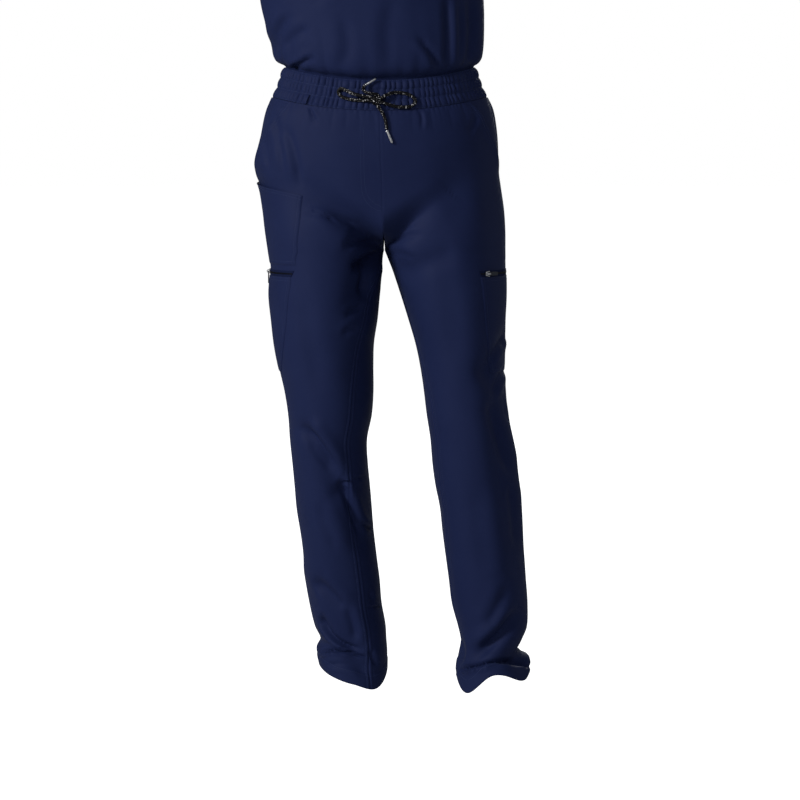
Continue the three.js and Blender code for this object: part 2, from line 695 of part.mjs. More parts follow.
// Sleeves: each starts at the armhole's edges and ends in an open oval hem
const SLEEVE_HEMS = {
  left: { side: -1, x: -247, y: 4, across: 47, deep: 70 },
  right: { side: 1, x: 231, y: 4, across: 47, deep: 70 },
};
const SLEEVE_GAP = 0.9; // the armhole seam's gap, measured sideways
const SLEEVE_ROWS = [0, 0.08, 0.2, 0.35, 0.52, 0.7, 0.86, 1];
for (const [name, hem] of Object.entries(SLEEVE_HEMS)) {
  // Stations round the armhole, from its lowest point by the front to the shoulder and back.
  const stations = [];
  for (let i = 0; i <= SHOULDER_COLUMN; i++) stations.push([-1, FRONT_EDGE[i].u]);
  for (let i = SHOULDER_COLUMN - 1; i > 0; i--) stations.push([1, BACK_EDGE[i].u]);
  const count = stations.length;
  const loop = stations.map(([face, u], i) => {
    const at = panelOf(face)(hem.side < 0 ? u : 1 - u, 1);
    const angle = (2 * Math.PI * i) / count;
    return { at, angle };
  });
  const surface = (round, down) => {
    const place = THREE.MathUtils.euclideanModulo(round, count);
    const first = Math.floor(place);
    const start = loop[first].at.clone().lerp(loop[(first + 1) % count].at, place - first);
    const angle = (2 * Math.PI * place) / count;
    const end = new THREE.Vector3(
      hem.x - hem.side * hem.across * Math.cos(angle),
      hem.y - hem.deep * Math.sin(angle),
      SLEEVE_HEM_Z + 6 * (1 - Math.cos(angle)),
    );
    const spreadOut = 1 - (1 - down) ** 2;
    // The shoulder's side leaves the armhole level and the underarm's side goes straight down.
    const level = clamp((start.z - ARM_Z) / (TIP[2] - ARM_Z), 0, 1);
    return new THREE.Vector3(
      lerp(start.x, end.x, spreadOut) + hem.side * SLEEVE_GAP * (1 - down),
      lerp(start.y, end.y, spreadOut),
      lerp(start.z, end.z, lerp(down, down ** 2, level)),
    );
  };
  const inside = (round, down) => new THREE.Vector3(
    lerp(loop[0].at.x + hem.side * 12, hem.x, down), hem.y, lerp(CHEST_Z, SLEEVE_HEM_Z, down),
  );
  const perStation = 2;
  add(`sleeve_${name}`, clothOn(surface, inside, SLEEVE_ROWS,
    () => spread(0, count, count * perStation).slice(0, -1), 0, CLOTH, true), cloth);
}

// V neckband: goes on from the neck's edge, as wide all round
{
  const columns = (edge) => mirrored(edge).slice(NECK_COLUMN, -NECK_COLUMN);
  const stations = [
    ...columns(FRONT_EDGE).map((u) => [-1, u]),
    ...columns(BACK_EDGE).reverse().slice(1, -1).map((u) => [1, u]),
  ];
  const edge = stations.map(([face, u]) => shirtPoints(face, u, 1));
  const next = (i, step) => edge[(i + step + edge.length) % edge.length].point;
  const centre = edge.reduce((sum, { point }) => sum.add(point), new THREE.Vector3())
    .divideScalar(edge.length);
  // Where two stretches of the edge meet, the band is mitred.
  const onward = edge.map(({ point, normal }, i) => {
    const across = [next(i, -1), next(i, 1)].map((other, side) => {
      const along = side === 0 ? point.clone().sub(other) : other.clone().sub(point);
      const way = along.cross(normal).normalize();
      return way.dot(centre.clone().sub(point)) < 0 ? way.negate() : way;
    });
    return across[0].clone().add(across[1]).divideScalar(1 + across[0].dot(across[1]));
  });
  const ring = (width, depth) => edge.map(({ point, normal }, i) => point.clone()
    .addScaledVector(onward[i], width).addScaledVector(normal, -depth));
  const widths = [SEAM, SEAM + NECKBAND / 2, SEAM + NECKBAND];
  add("neckband", wall(widths.map((w) => ring(w, 0)), widths.map((w) => ring(w, CLOTH)), true), cloth);
}

// Drawstring: points of the front view with their stand-off from the waistband or the front
const KNOT = { x: -4.4, z: -41, stand: 6.6, across: 9.8, deep: 5.6, tall: 7.4 };
const frontY = (x, z) => {
  const section = z > -BAND_HEIGHT ? read(BAND, z) : read(PELVIS, z);
  return section.front * (1 - Math.abs(x / section.right) ** SQUARENESS) ** (1 / SQUARENESS);
};
const ROUTES = {
  loop_left: table("x z stand", [
    [-14.6, -41.5, 5],
    [-27, -41, 3],
    [-40, -40, 2.4],
    [-52, -37.5, 2.4],
    [-60, -33, 3],
    [-62, -27.5, 4],
    [-58, -23.5, 5],
    [-51, -25.5, 6.5],
    [-42, -30, 8],
    [-30, -33.6, 8.8],
    [-20, -35.4, 9],
    [-13.4, -36.6, 8.4],
  ]),
  loop_right: table("x z stand", [
    [5, -36.8, 8],
    [14.5, -31.5, 5.6],
    [24, -29.4, 3.4],
    [34, -29.6, 2.6],
    [45, -32.4, 2.4],
    [53, -38, 2.4],
    [54.6, -44, 2.4],
    [49, -49.5, 2.4],
    [38, -51.2, 2.4],
    [26, -50.4, 2.8],
    [15, -47.6, 3.6],
    [5.6, -44.4, 5],
  ]),
  tail_up: table("x z stand", [
    [-8.8, -33, 11],
    [-14, -31, 13.6],
    [-19.4, -29.4, 14.4],
    [-23, -26.4, 12.6],
    [-23.8, -22.6, 9.6],
    [-22.4, -19.4, 7],
  ]),
  tail_down: table("x z stand", [
    [-2.2, -49.2, 5.4],
    [2.4, -56, 3.6],
    [7, -64.5, 2.4],
    [9.6, -72, 2],
    [10.8, -80, 2],
    [11.4, -85, 2],
  ]),
};
const AGLETS = {
  aglet_up: table("x z stand", [
    [-21.2, -18.2, 6.2],
    [-4.6, -8.2, 3.8],
  ]),
  aglet_down: table("x z stand", [
    [11.7, -86.4, 2],
    [19.8, -105.6, 2],
  ]),
};
const routePoint = ({ x, z, stand }) => new THREE.Vector3(x, frontY(x, z) - stand, z);
function tube(points, radius, sides, steps) {
  const path = points.length === 2 ? new THREE.LineCurve3(...points)
    : new THREE.CatmullRomCurve3(points, false, "centripetal");
  const section = new THREE.Shape(Array.from({ length: sides }, (_, i) => {
    const angle = (2 * Math.PI * i) / sides;
    return new THREE.Vector2(radius * Math.cos(angle), radius * Math.sin(angle));
  }));
  return new THREE.ExtrudeGeometry(section, { steps, bevelEnabled: false, extrudePath: path });
}
const CORD_STEPS = { loop_left: 20, loop_right: 22, tail_up: 6, tail_down: 6 };
for (const [name, points] of Object.entries(ROUTES)) {
  add(`cord_${name}`, tube(points.map(routePoint), CORD_RADIUS, 8, CORD_STEPS[name]), cord);
}
for (const [name, points] of Object.entries(AGLETS)) {
  add(name, tube(points.map(routePoint), CORD_RADIUS * 0.8, 8, 2), metal);
}
add("cord_knot", new THREE.SphereGeometry(1, 12, 8).rotateX(Math.PI / 2)
  .scale(KNOT.across, KNOT.deep, KNOT.tall)
  .translate(KNOT.x, frontY(KNOT.x, KNOT.z) - KNOT.stand, KNOT.z), cord);

// Small cloth loop on the waistband's lower edge
const WAIST_LOOP = { turn: -130.4, width: 2.3, top: -31, bottom: -45 }; // turns in degrees
{
  const { turn, width, top, bottom } = WAIST_LOOP;
  const profile = table("z stand", [
    [top, 1.4],
    [(top + bottom) / 2, 3.2],
    [bottom, 1.4],
  ]);
  const face = (extra) => profile.map((row) => [turn - width / 2, turn + width / 2].map(
    (side) => band(radians(side), row.z, row.stand + extra),
  ));
  add("waist_loop", wall(face(CLOTH), face(0)), cloth);
}

export default scrubs;
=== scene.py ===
# Medical scrubs as worn: tapered drawstring trousers with a scrub top tucked into them.
# Sizes are millimetres until a mesh is made; +Z is up and the wearer faces -Y.
import math
import bmesh
import bpy
import numpy as np
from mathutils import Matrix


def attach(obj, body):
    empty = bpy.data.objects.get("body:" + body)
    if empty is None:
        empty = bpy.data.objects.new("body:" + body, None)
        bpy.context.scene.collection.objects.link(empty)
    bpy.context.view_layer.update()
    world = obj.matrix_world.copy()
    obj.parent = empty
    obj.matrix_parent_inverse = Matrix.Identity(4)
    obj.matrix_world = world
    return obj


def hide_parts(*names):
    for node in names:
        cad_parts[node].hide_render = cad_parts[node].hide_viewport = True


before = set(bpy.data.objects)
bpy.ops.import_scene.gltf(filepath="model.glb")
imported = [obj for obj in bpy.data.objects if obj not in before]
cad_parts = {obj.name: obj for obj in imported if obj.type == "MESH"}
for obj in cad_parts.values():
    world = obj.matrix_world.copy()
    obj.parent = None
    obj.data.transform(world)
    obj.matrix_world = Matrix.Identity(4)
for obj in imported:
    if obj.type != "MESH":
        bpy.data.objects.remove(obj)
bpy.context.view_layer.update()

MM = 0.001

CLOTH = 1.0  # thickness of one cloth wall
SEAM = 0.3  # gap between two pieces at a seam
BAND_HEIGHT = 46
BAND_WALL = 3
GATHERS = 110
CROTCH_Z = -272
FORK_Z = -205
ROUNDING_Z = -90
HEM_Z = -940
HEM_BLEND_Z = -862
LIFT_SIDE, LIFT_FRONT, LIFT_BACK = 12, -10, 14
LIFT_END_Z = -170
ARM_Z = 285
SHOULDER_Y = 2
TOP_HEM_Z = -64
SLEEVE_HEM_Z = 198
NECKBAND = 18
CORD_RADIUS = 2.5
SQUARENESS = 2.2  # of the body's sections, for oval()
LEG_SQUARENESS = 2.1
FLOOR_Z = -1074
CHEST_Z = 330  # a height inside the chest, which the top's outer side faces away from
SHARP_ANGLE = math.radians(55)


def table(names, rows):
    """Rows of numbers under named columns."""
    return dict(zip(names.split(), np.array(rows, float).T))


def side_name(side):
    return "left" if side < 0 else "right"


def lerp(a, b, t):
    return a + (b - a) * t


def smoothstep(x, low, high):
    t = np.clip((x - low) / (high - low), 0, 1)
    return t * t * (3 - 2 * t)


def bump(x, middle, width):
    return np.exp(-(((x - middle) / width) ** 2))


def read(rows, at):
    """Reads a table smoothly at values of its first column."""
    names = list(rows)
    keys = rows[names[0]]
    at = np.asarray(at, float)
    way = 1 if keys[-1] > keys[0] else -1
    found = np.searchsorted(way * keys, way * at, side="right") - 1
    i = np.clip(found, 0, len(keys) - 2)
    before = np.maximum(i - 1, 0)
    after = np.minimum(i + 2, len(keys) - 1)
    span = keys[i + 1] - keys[i]
    f = np.clip((at - keys[i]) / span, 0, 1)
    f2, f3 = f**2, f**3
    out = {}
    for name in names:
        v = rows[name]
        m0 = (v[i + 1] - v[before]) / (keys[i + 1] - keys[before]) * span
        m1 = (v[after] - v[i]) / (keys[after] - keys[i]) * span
        ends = (2 * f3 - 3 * f2 + 1) * v[i] + (3 * f2 - 2 * f3) * v[i + 1]
        out[name] = ends + (f3 - 2 * f2 + f) * m0 + (f3 - f2) * m1
    return out


# Sections of the waistband and of the trousers above the fork
BAND = table("z left right front back", [
    [0, -149, 149, -103, 97],
    [-20, -155, 155, -106, 101],
    [-34, -160, 160, -108, 104],
    [-46, -167, 167, -110, 108],
])
PELVIS = table("z left right front back centre", [
    [-46, -168, 168, -110, 108, 0],
    [-66, -177, 177, -113, 114, 1],
    [-101, -186, 183, -115, 128, 2],
    [-135, -196, 186, -114, 139, 3],
    [-153, -194, 187, -113, 144, 4],
    [-171, -187, 190, -112, 146, 4.5],
    [-207, -182, 195.5, -110, 146, 5],
    [-240, -179, 197.5, -109, 140, 6],
    [-272, -175, 197.5, -108, 130, 7],
])

# Sections of the legs. turn is how far the inseam lies forward of the leg's inner side.
LEGS = {
    "left": table("z outer inner front back turn", [
        [-272, -175, 6.8, -108, 130, 0],
        [-302, -171, 3, -108, 116, 14],
        [-340, -171, 0, -107, 106, 30],
        [-378, -167.5, -3, -105, 98, 40],
        [-416, -164, -8.5, -102, 90, 47],
        [-453, -158, -9.5, -99, 84, 52],
        [-491, -150, -9.5, -96, 78, 57],
        [-529, -145, -12.6, -94, 71, 59],
        [-567, -142, -20, -90, 66, 60],
        [-605, -137.5, -19, -84, 66, 60],
        [-643, -134, -16, -79, 70, 61],
        [-681, -131, -12.6, -74, 75, 61],
        [-719, -126, -9.5, -69, 79, 61],
        [-757, -121.7, -5, -64, 81, 61],
        [-795, -118.5, 0, -59, 81, 61],
        [-833, -112, 2.5, -56, 79, 61],
        [-868, -104, 8, -54, 76, 61],
        [-892, -95, 9.5, -53, 74, 61],
        [-911, -101, 11, -56, 74, 61],
        [-940, -96, 11, -60, 72, 61],
    ]),
    "right": table("z outer inner front back turn", [
        [-272, 197.5, 7.2, -108, 130, 0],
        [-302, 197.5, 19, -108, 116, 11],
        [-340, 196, 32, -107, 106, 13],
        [-378, 194, 44, -105, 98, 15],
        [-416, 194, 55, -102, 90, 18],
        [-453, 194, 63, -100, 83, 23],
        [-491, 197.5, 69.5, -98, 77, 29],
        [-529, 201, 74, -95, 70, 33],
        [-567, 208.5, 79, -91, 66, 34],
        [-605, 215, 82, -86, 66, 33],
        [-643, 221, 87, -81, 69, 30],
        [-681, 224, 95, -77, 73, 27],
        [-719, 226, 99.5, -73, 77, 24],
        [-757, 229, 104, -69, 79, 21],
        [-795, 231, 109, -66, 79, 17],
        [-833, 234, 114, -63, 77, 13],
        [-868, 234, 123, -61, 74, 10],
        [-890, 226, 127, -60, 72, 9],
        [-911, 217, 124, -62, 71, 8],
        [-926, 235, 121, -66, 71, 8],
        [-940, 239, 120, -69, 71, 8],
    ]),
}

# Heights of the hems' edges round each leg: 0 is the outer side and -90 the front
HEMS = {
    "left": table("angle z", [
        [-180, -936],
        [-131, -960],
        [-90, -950],
        [-45, -938],
        [0, -929],
        [45, -935],
        [90, -944],
        [180, -936],
    ]),
    "right": table("angle z", [
        [-180, -938],
        [-135, -966],
        [-90, -934],
        [-35, -947],
        [0, -929],
        [45, -940],
        [90, -948],
        [180, -938],
    ]),
}

# The slash pockets' edges, as the share of the way round from front seam to back seam
SLASH = table("z share", [
    [-46, 0.305],
    [-60, 0.322],
    [-84, 0.352],
    [-108, 0.395],
    [-134, 0.445],
    [-158, 0.5],
])
SLASH_END_Z = -158

# The largest folds: soft troughs from one point of the front or back view to another
FOLDS = table("face x0 z0 x1 z1 width depth", [
    [-1, -118, -548, -63, -640, 17, 6],
    [-1, -60, -645, -28, -727, 16, 5],
    [-1, -95, -795, -38, -890, 16, 4.5],
    [-1, -92, -858, -28, -912, 12, 5],
    [-1, -14, -268, -34, -352, 20, 7],
    [-1, 190, -405, 165, -452, 15, 5],
    [-1, 166, -460, 194, -520, 15, 5],
    [-1, 176, -520, 214, -766, 17, 5],
    [-1, 220, -850, 158, -900, 14, 5],
    [-1, 50, -300, 100, -275, 16, 4],
    [1, -130, -560, -45, -600, 18, 6],
    [1, -120, -640, -30, -615, 16, 4],
    [1, 100, -590, 190, -560, 18, 6],
    [1, 105, -620, 205, -650, 16, 4],
    [1, -130, -300, -25, -330, 22, 6],
    [1, 40, -330, 150, -300, 22, 6],
    [1, -100, -800, -20, -850, 15, 5],
    [1, 130, -850, 215, -800, 15, 5],
])

# Sections of the top below the armholes
TOP = table("z left right front back", [
    [-64, -145.2, 145.2, -99.2, 93.2],
    [-30, -145.4, 145.4, -99.4, 93.4],
    [0, -145.4, 145.4, -99.4, 93.4],
    [3, -147.5, 147, -101, 95],
    [8, -157, 152, -108, 101],
    [16, -164, 157, -114, 106],
    [32, -167, 160, -118, 108],
    [56, -171, 161, -119, 106],
    [118, -185, 161, -118, 104],
    [200, -188, 167, -121, 110],
    [250, -192, 172, -124, 116],
    [285, -197, 175, -124, 118],
])
TOP_CENTRE = -11

# Upper edges of the top's front and back, half of each
ARMHOLE = table("u x z", [
    [0, 186, 285],
    [0.05, 181, 300],
    [0.1, 175, 322],
    [0.15, 171, 350],
    [0.19, 171, 382],
    [0.225, 173, 399],
    [0.25, 175.5, 408],
    [0.27, 179, 416],
])
SHOULDER = table("u x z", [
    [0.27, 179, 416],
    [0.31, 140, 432],
    [0.35, 101, 447],
])
NECK = {
    -1: table("u x z", [
        [0.35, 101, 447],
        [0.362, 97, 436],
        [0.38, 91, 421],
        [0.405, 81, 400],
        [0.45, 47, 352],
        [0.5, 0, 296],
    ]),
    1: table("u x z", [
        [0.35, 101, 447],
        [0.362, 96, 444],
        [0.38, 88, 441],
        [0.405, 74, 437],
        [0.45, 36, 432],
        [0.5, 0, 430],
    ]),
}
TIP_U, NECK_U = 0.27, 0.35
TIP_X, TIP_Z = 179, 416
NECK_X, NECK_Z = 101, 447

# Creases of the front or back view: a curve through three points of the picture plane, the
# trough's half width and depth, and the height of the ridge on its left side (minus: right)
CREASES = {
    "left": table("face x0 z0 x1 z1 x2 z2 width depth ridge", [
        [-1, -109, -47, -106, -58, -96, -76, 2.4, 2.2, 0.8],
        [-1, -148, -79, -134, -118, -123, -172, 6, 2.6, -1.8],
        [-1, -166, -58, -156, -95, -150, -150, 5, 2.2, -1.6],
        [-1, -178, -95, -176, -120, -170, -152, 4, 1.6, -1.2],
        [-1, -118, -216, -92, -218, -66, -231, 2.6, 2.2, 1.2],
        [-1, -87, -220, -60, -224, -35, -235, 5, 2, 0.8],
        [-1, -45, -258, -74, -238, -108, -200, 20, -3.6, 0],
        [-1, 8, -263, -24, -259, -58, -266, 5, 3.2, 1.2],
        [-1, 6, -272, -19, -290, -44, -300, 9, 9.5, 1.6],
        [-1, -2, -282, -20, -310, -24, -352, 9, 8.5, 1],
        [-1, -55, -374, -40, -365, -27, -359, 4.5, 2.4, 0.8],
        [-1, -60, -405, -46, -396, -34, -394, 5, 1.8, 0.7],
        [-1, -122, -547, -95, -581, -66, -627, 8, 6, 3.6],
        [-1, -114, -573, -95, -600, -74, -624, 4, 1.8, 0.8],
        [-1, -66, -634, -47, -676, -30, -727, 6, 5.6, 3],
        [-1, -70, -641, -44, -635, -17, -629, 1.8, 2.4, 1],
        [-1, -34, -700, -19, -709, -8, -713, 4, 4, 1.2],
        [-1, -98, -671, -85, -711, -66, -750, 9, 2, 1],
        [-1, -104, -793, -79, -817, -52, -845, 8, 3.6, 1.6],
        [-1, -55, -837, -44, -864, -39, -894, 7, 3.4, 1.2],
        [-1, -93, -848, -74, -886, -27, -907, 3.6, 5, -3],
        [-1, -101, -913, -63, -908, -9, -924, 2.6, 3.8, -2.2],
        [-1, -90, -935, -60, -930, -20, -944, 4, 1.6, -1],
        [-1, -17, -814, -14, -820, -11, -829, 3, 2, 0.8],
        [-1, -22, -839, -8, -837, 6, -837, 1.5, 1.6, 0.8],
        [-1, -16, -905, -12, -920, -4, -932, 4, 2, 1],
        [-1, -126, -340, -110, -419, -98, -498, 14, 1.6, 0.8],
        [-1, -150, -760, -120, -800, -100, -850, 7, 1.6, 1],
        [1, -150, -90, -120, -130, -112, -190, 8, 2.4, 1.4],
        [1, -140, -286, -85, -300, -20, -284, 8, 4.6, 2],
        [1, -125, -330, -75, -346, -22, -338, 6, 2.6, 1.2],
        [1, -116, -372, -80, -392, -36, -396, 7, 1.8, 0.9],
        [1, -140, -545, -90, -570, -40, -566, 6, 3.8, 2],
        [1, -132, -600, -85, -612, -28, -600, 5, 3.8, 1.8],
        [1, -128, -655, -80, -645, -24, -660, 6, 2.8, 1.4],
        [1, -112, -780, -70, -810, -15, -815, 7, 3, 1.6],
        [1, -100, -862, -60, -885, -5, -880, 4, 4.4, -2.4],
        [1, -96, -908, -50, -918, 5, -905, 3, 3.4, 1.8],
    ]),
    "right": table("face x0 z0 x1 z1 x2 z2 width depth ridge", [
        [-1, 22, -276, 62, -238, 112, -184, 25, -5, 0],
        [-1, 13, -265, 39, -254, 71, -248, 5, 2, 1],
        [-1, 10, -278, 30, -276, 58, -282, 4, 1.4, 0.8],
        [-1, 197, -400, 180, -427, 169, -452, 4, 2.8, 2],
        [-1, 201, -450, 186, -474, 177, -506, 4, 2.6, 2],
        [-1, 175, -506, 186, -561, 210, -634, 8, 5, 2.2],
        [-1, 205, -640, 212, -687, 216, -750, 7, 3.6, 1.4],
        [-1, 150, -640, 158, -720, 170, -800, 16, 1.6, 0.8],
        [-1, 223, -838, 190, -881, 152, -914, 9, 6.5, -2.6],
        [-1, 205, -800, 186, -840, 168, -872, 9, 2.4, -1.2],
        [-1, 120, -942, 158, -931, 194, -923, 3, 5.5, -2.4],
        [-1, 180, -926, 213, -926, 242, -934, 4, 7, -2.4],
        [-1, 123, -888, 131, -908, 124, -930, 5, 3, 1.4],
        [-1, 87, -260, 110, -355, 118, -466, 18, 1.6, 0.8],
        [-1, 150, -60, 146, -76, 138, -92, 4, 1.4, 0.8],
        [-1, 60, -52, 66, -66, 64, -84, 3, 1.2, 0.6],
        [1, 145, -90, 122, -130, 115, -185, 8, 2.4, 1.4],
        [1, 26, -284, 90, -302, 160, -288, 8, 4.6, 2],
        [1, 40, -336, 100, -350, 165, -338, 6, 2.6, 1.2],
        [1, 60, -392, 110, -402, 160, -388, 7, 1.8, 0.9],
        [1, 100, -572, 145, -582, 196, -560, 6, 3.8, 2],
        [1, 104, -612, 150, -622, 205, -612, 5, 3.6, 1.8],
        [1, 108, -668, 160, -655, 214, -670, 6, 2.8, 1.4],
        [1, 118, -800, 165, -822, 226, -806, 7, 3, 1.6],
        [1, 128, -868, 170, -884, 224, -872, 4, 4.4, -2.4],
        [1, 128, -910, 170, -920, 228, -912, 3, 3.4, 1.8],
    ]),
    "top": table("face x0 z0 x1 z1 x2 z2 width depth ridge", [
        [-1, -141, 6, -122, 18, -101, 29, 4.5, 3.6, 1.6],
        [-1, -166, 26, -158, 62, -142, 96, 7, 3.4, 2.2],
        [-1, -150, 40, -132, 60, -108, 72, 7, 2, 1],
        [-1, 98, 2, 80, 34, 58, 60, 5, 3.6, 1.8],
        [-1, 103, 130, 106, 60, 104, 10, 6, 4, 2],
        [-1, 141, 130, 143, 60, 136, 10, 6, 4.6, 2.2],
        [-1, 122, 118, 124, 60, 121, 20, 5, 2, 1.4],
        [-1, -60, 12, -50, 50, -62, 96, 9, 1.8, 1],
        [-1, 20, 14, 12, 60, 24, 130, 12, 1.6, 0.8],
        [-1, -150, 250, -110, 190, -96, 110, 12, 4, 2.2],
        [-1, 135, 262, 100, 200, 92, 120, 12, 3.8, 2.2],
        [-1, -172, 300, -130, 296, -84, 318, 9, 3.6, 2],
        [-1, 152, 300, 112, 300, 70, 320, 9, 3.6, 2],
        [-1, -176, 340, -140, 352, -100, 376, 9, 2.4, 1.4],
        [-1, 154, 340, 118, 352, 82, 376, 9, 2.4, 1.4],
        [-1, -60, 220, -20, 200, 30, 224, 14, 2, 1],
        [1, -110, 14, -96, 60, -104, 140, 10, 3.6, 2.2],
        [1, -70, 14, -60, 40, -66, 90, 8, 2.4, 1.4],
        [1, -30, 16, -40, 80, -28, 160, 11, 3.2, 1.8],
        [1, 10, 14, 16, 44, 8, 86, 8, 2, 1.2],
        [1, 48, 12, 54, 66, 40, 150, 11, 3.4, 2],
        [1, 112, 14, 100, 70, 112, 150, 10, 3.8, 2.2],
        [1, -150, 240, -96, 250, -30, 300, 11, 3.6, 2],
        [1, 140, 250, 90, 262, 30, 306, 11, 3.4, 2],
        [1, -150, 330, -110, 350, -60, 372, 10, 2.4, 1.2],
        [1, 136, 330, 96, 350, 50, 372, 10, 2.4, 1.2],
    ]),
}
CREASE_DEPTH = 1.45  # multiplies the depths and ridges above
CREASE_STEPS = 25
CAMERA = (31.6, -4000, -128)
CAMERA_LENS = 114.8
CAMERA_TILT = 84.58

rng = np.random.default_rng(11)


def oval(angle, power):
    """A point of a flattened oval; power 2 is an ellipse and more is squarer."""
    c, s = np.cos(angle), np.sin(angle)
    return np.sign(c) * np.abs(c) ** (2 / power), np.sign(s) * np.abs(s) ** (2 / power)


def lift(angle):
    c, s = np.cos(angle), np.sin(angle)
    return LIFT_SIDE * c * c + np.where(s < 0, LIFT_FRONT, LIFT_BACK) * s * s


def points_of(x, y, z):
    return np.stack(np.broadcast_arrays(x, y, z), axis=-1).astype(float)


def fold_depth(x, y, z):
    """How far the largest folds press the cloth in."""
    depth = np.zeros_like(x)
    for face, x0, z0, x1, z1, width, most in zip(*FOLDS.values()):
        dx, dz = x1 - x0, z1 - z0
        along = np.clip(((x - x0) * dx + (z - z0) * dz) / (dx * dx + dz * dz), 0, 1)
        away = np.hypot(x - x0 - along * dx, z - z0 - along * dz)
        depth += np.where((y < 0) == (face < 0), most * bump(away, 0, width), 0)
    return depth


def trouser(side, share, z):
    """The trousers' surface: share is 0 at the front seam, 0.5 at the side and 1 at the back."""
    share, z = np.broadcast_arrays(np.asarray(share, float), np.asarray(z, float))
    name = side_name(side)
    body = read(PELVIS, np.maximum(z, CROTCH_Z))
    from_seam = np.sin(np.pi * np.clip(share, 0, 1))
    start = lerp(FORK_Z, ROUNDING_Z, from_seam)
    t = np.clip((start - z) / (start - CROTCH_Z), 0, 1)
    fork = lerp(t**3, smoothstep(t, 0, 1), 1 - (1 - from_seam) ** 3)
    low = read(LEGS[name], np.minimum(z, CROTCH_Z))
    below = z < CROTCH_Z
    outer = np.where(below, low["outer"], body[name])
    inner = np.where(below, low["inner"], body["centre"] + side * 0.2)
    front = np.where(below, low["front"], body["front"])
    back = np.where(below, low["back"], body["back"])
    hip_angle = np.radians(-90 + 180 * share)
    inseam_turn = np.where(below, low["turn"], 0)
    leg_angle = np.radians(-180 + 360 * share + inseam_turn)
    hip_x, hip_y = oval(hip_angle, SQUARENESS)
    leg_x, leg_y = oval(leg_angle, LEG_SQUARENESS)
    hip_half = (body["back"] - body["front"]) / 2
    x = lerp(
        body["centre"] + hip_x * (body[name] - body["centre"]),
        (outer + inner) / 2 + leg_x * (outer - inner) / 2,
        fork,
    )
    y = lerp(
        (body["front"] + body["back"]) / 2 + hip_y * hip_half,
        (front + back) / 2 + leg_y * (back - front) / 2,
        fork,
    )
    in_x, in_y = (outer + inner) / 2 - x, (front + back) / 2 - y
    away = np.hypot(in_x, in_y) + 1e-9
    depth = fold_depth(x, y, z) * smoothstep(np.abs(in_y / away), 0.1, 0.45)
    x = x + in_x / away * depth
    y = y + in_y / away * depth
    up = z + lift(hip_angle) * smoothstep(z, LIFT_END_Z, -BAND_HEIGHT)
    degrees = (np.degrees(leg_angle) + 180) % 360 - 180
    slant = read(HEMS[name], degrees)["z"] - HEM_Z
    up = up + slant * (1 - smoothstep(z, HEM_Z, HEM_BLEND_Z))
    return points_of(x, y, up)


def band(angle, z, rise):
    """The waistband's surface; angle is 0 at the viewer's right and -90 degrees at the front."""
    section = read(BAND, z)
    c, s = oval(angle, SQUARENESS)
    x = np.where(c < 0, -section["left"], section["right"]) * c
    y = (section["front"] + section["back"]) / 2 + s * (section["back"] - section["front"]) / 2
    return points_of(x + np.cos(angle) * rise, y + np.sin(angle) * rise, z + lift(angle))


def torso(face, u, z):
    """The top's surface below the armholes; u runs from the viewer's left side to the right."""
    section = read(TOP, z)
    turn = np.radians(180 * (u - 0.5))
    c, s = oval(turn, SQUARENESS)
    left, right = section["left"], section["right"]
    x = (left + right) / 2 + s * (right - left) / 2
    y = (section["front"] + section["back"]) / 2
    y = y + face * c * (section["back"] - section["front"]) / 2
    angle = np.arctan2(face * np.cos(turn), np.sin(turn))
    return points_of(x, y, z + lift(angle) * (1 - smoothstep(z, 16, 90)))


def edge_of(face, u):
    """The upper edge of the top's front or back: armhole, shoulder and neck."""
    half = 0.5 - np.abs(u - 0.5)
    parts = [read(rows, half) for rows in (ARMHOLE, SHOULDER, NECK[face])]
    where = [half <= TIP_U, half <= NECK_U]
    return [np.select(where, [p[key] for p in parts[:2]], parts[2][key]) for key in "xz"]


def yoke(face, u, climb):
    """The same surface above the armholes, where a column climbs to the panel's upper edge."""
    edge_x, edge_z = edge_of(face, u)
    side = np.where(u < 0.5, -1, 1)
    start = torso(face, u, np.full_like(u, ARM_Z))
    reach = lerp(NECK_Z, TIP_Z, np.clip((edge_x - NECK_X) / (TIP_X - NECK_X), 0, 1))
    crown = np.maximum(reach, edge_z) - ARM_Z
    most = np.arcsin(np.clip((edge_z - ARM_Z) / crown, 0, 1))
    flat = most < 1e-6
    share = np.where(flat, climb, np.sin(most * climb) / np.where(flat, 1, np.sin(most)))
    return points_of(
        lerp(start[..., 0], TOP_CENTRE + side * edge_x, np.abs(share) ** 1.3),
        SHOULDER_Y + (start[..., 1] - SHOULDER_Y) * np.cos(most * climb),
        ARM_Z + (edge_z - ARM_Z) * share,
    )


def normals(grid, ring=False):
    """Unit normals of a grid of points, along its rows' way round times its columns' way."""
    if ring:
        around = np.roll(grid, -1, axis=1) - np.roll(grid, 1, axis=1)
    else:
        around = np.gradient(grid, axis=1)
    made = np.cross(around, np.gradient(grid, axis=0))
    return made / (np.linalg.norm(made, axis=-1, keepdims=True) + 1e-12)


def outward(grid, inside, ring=False):
    """The same normals, turned to face away from the point or points inside."""
    made = normals(grid, ring)
    return made * np.sign(np.sum(made * (grid - inside)))


def lengths(grid, axis, ring=False):
    """Lengths along the rows or columns of a grid, from its first point."""
    if ring:
        grid = np.concatenate([grid, grid[:, :1]], axis=1)
    steps = np.linalg.norm(np.diff(grid, axis=axis), axis=-1)
    start = np.zeros_like(np.take(steps, [0], axis=axis))
    return np.cumsum(np.concatenate([start, steps], axis=axis), axis=axis)


def run(points):
    """Distances along a line of points, from its first one."""
    return np.concatenate([[0], np.cumsum(np.linalg.norm(np.diff(points, axis=0), axis=-1))])


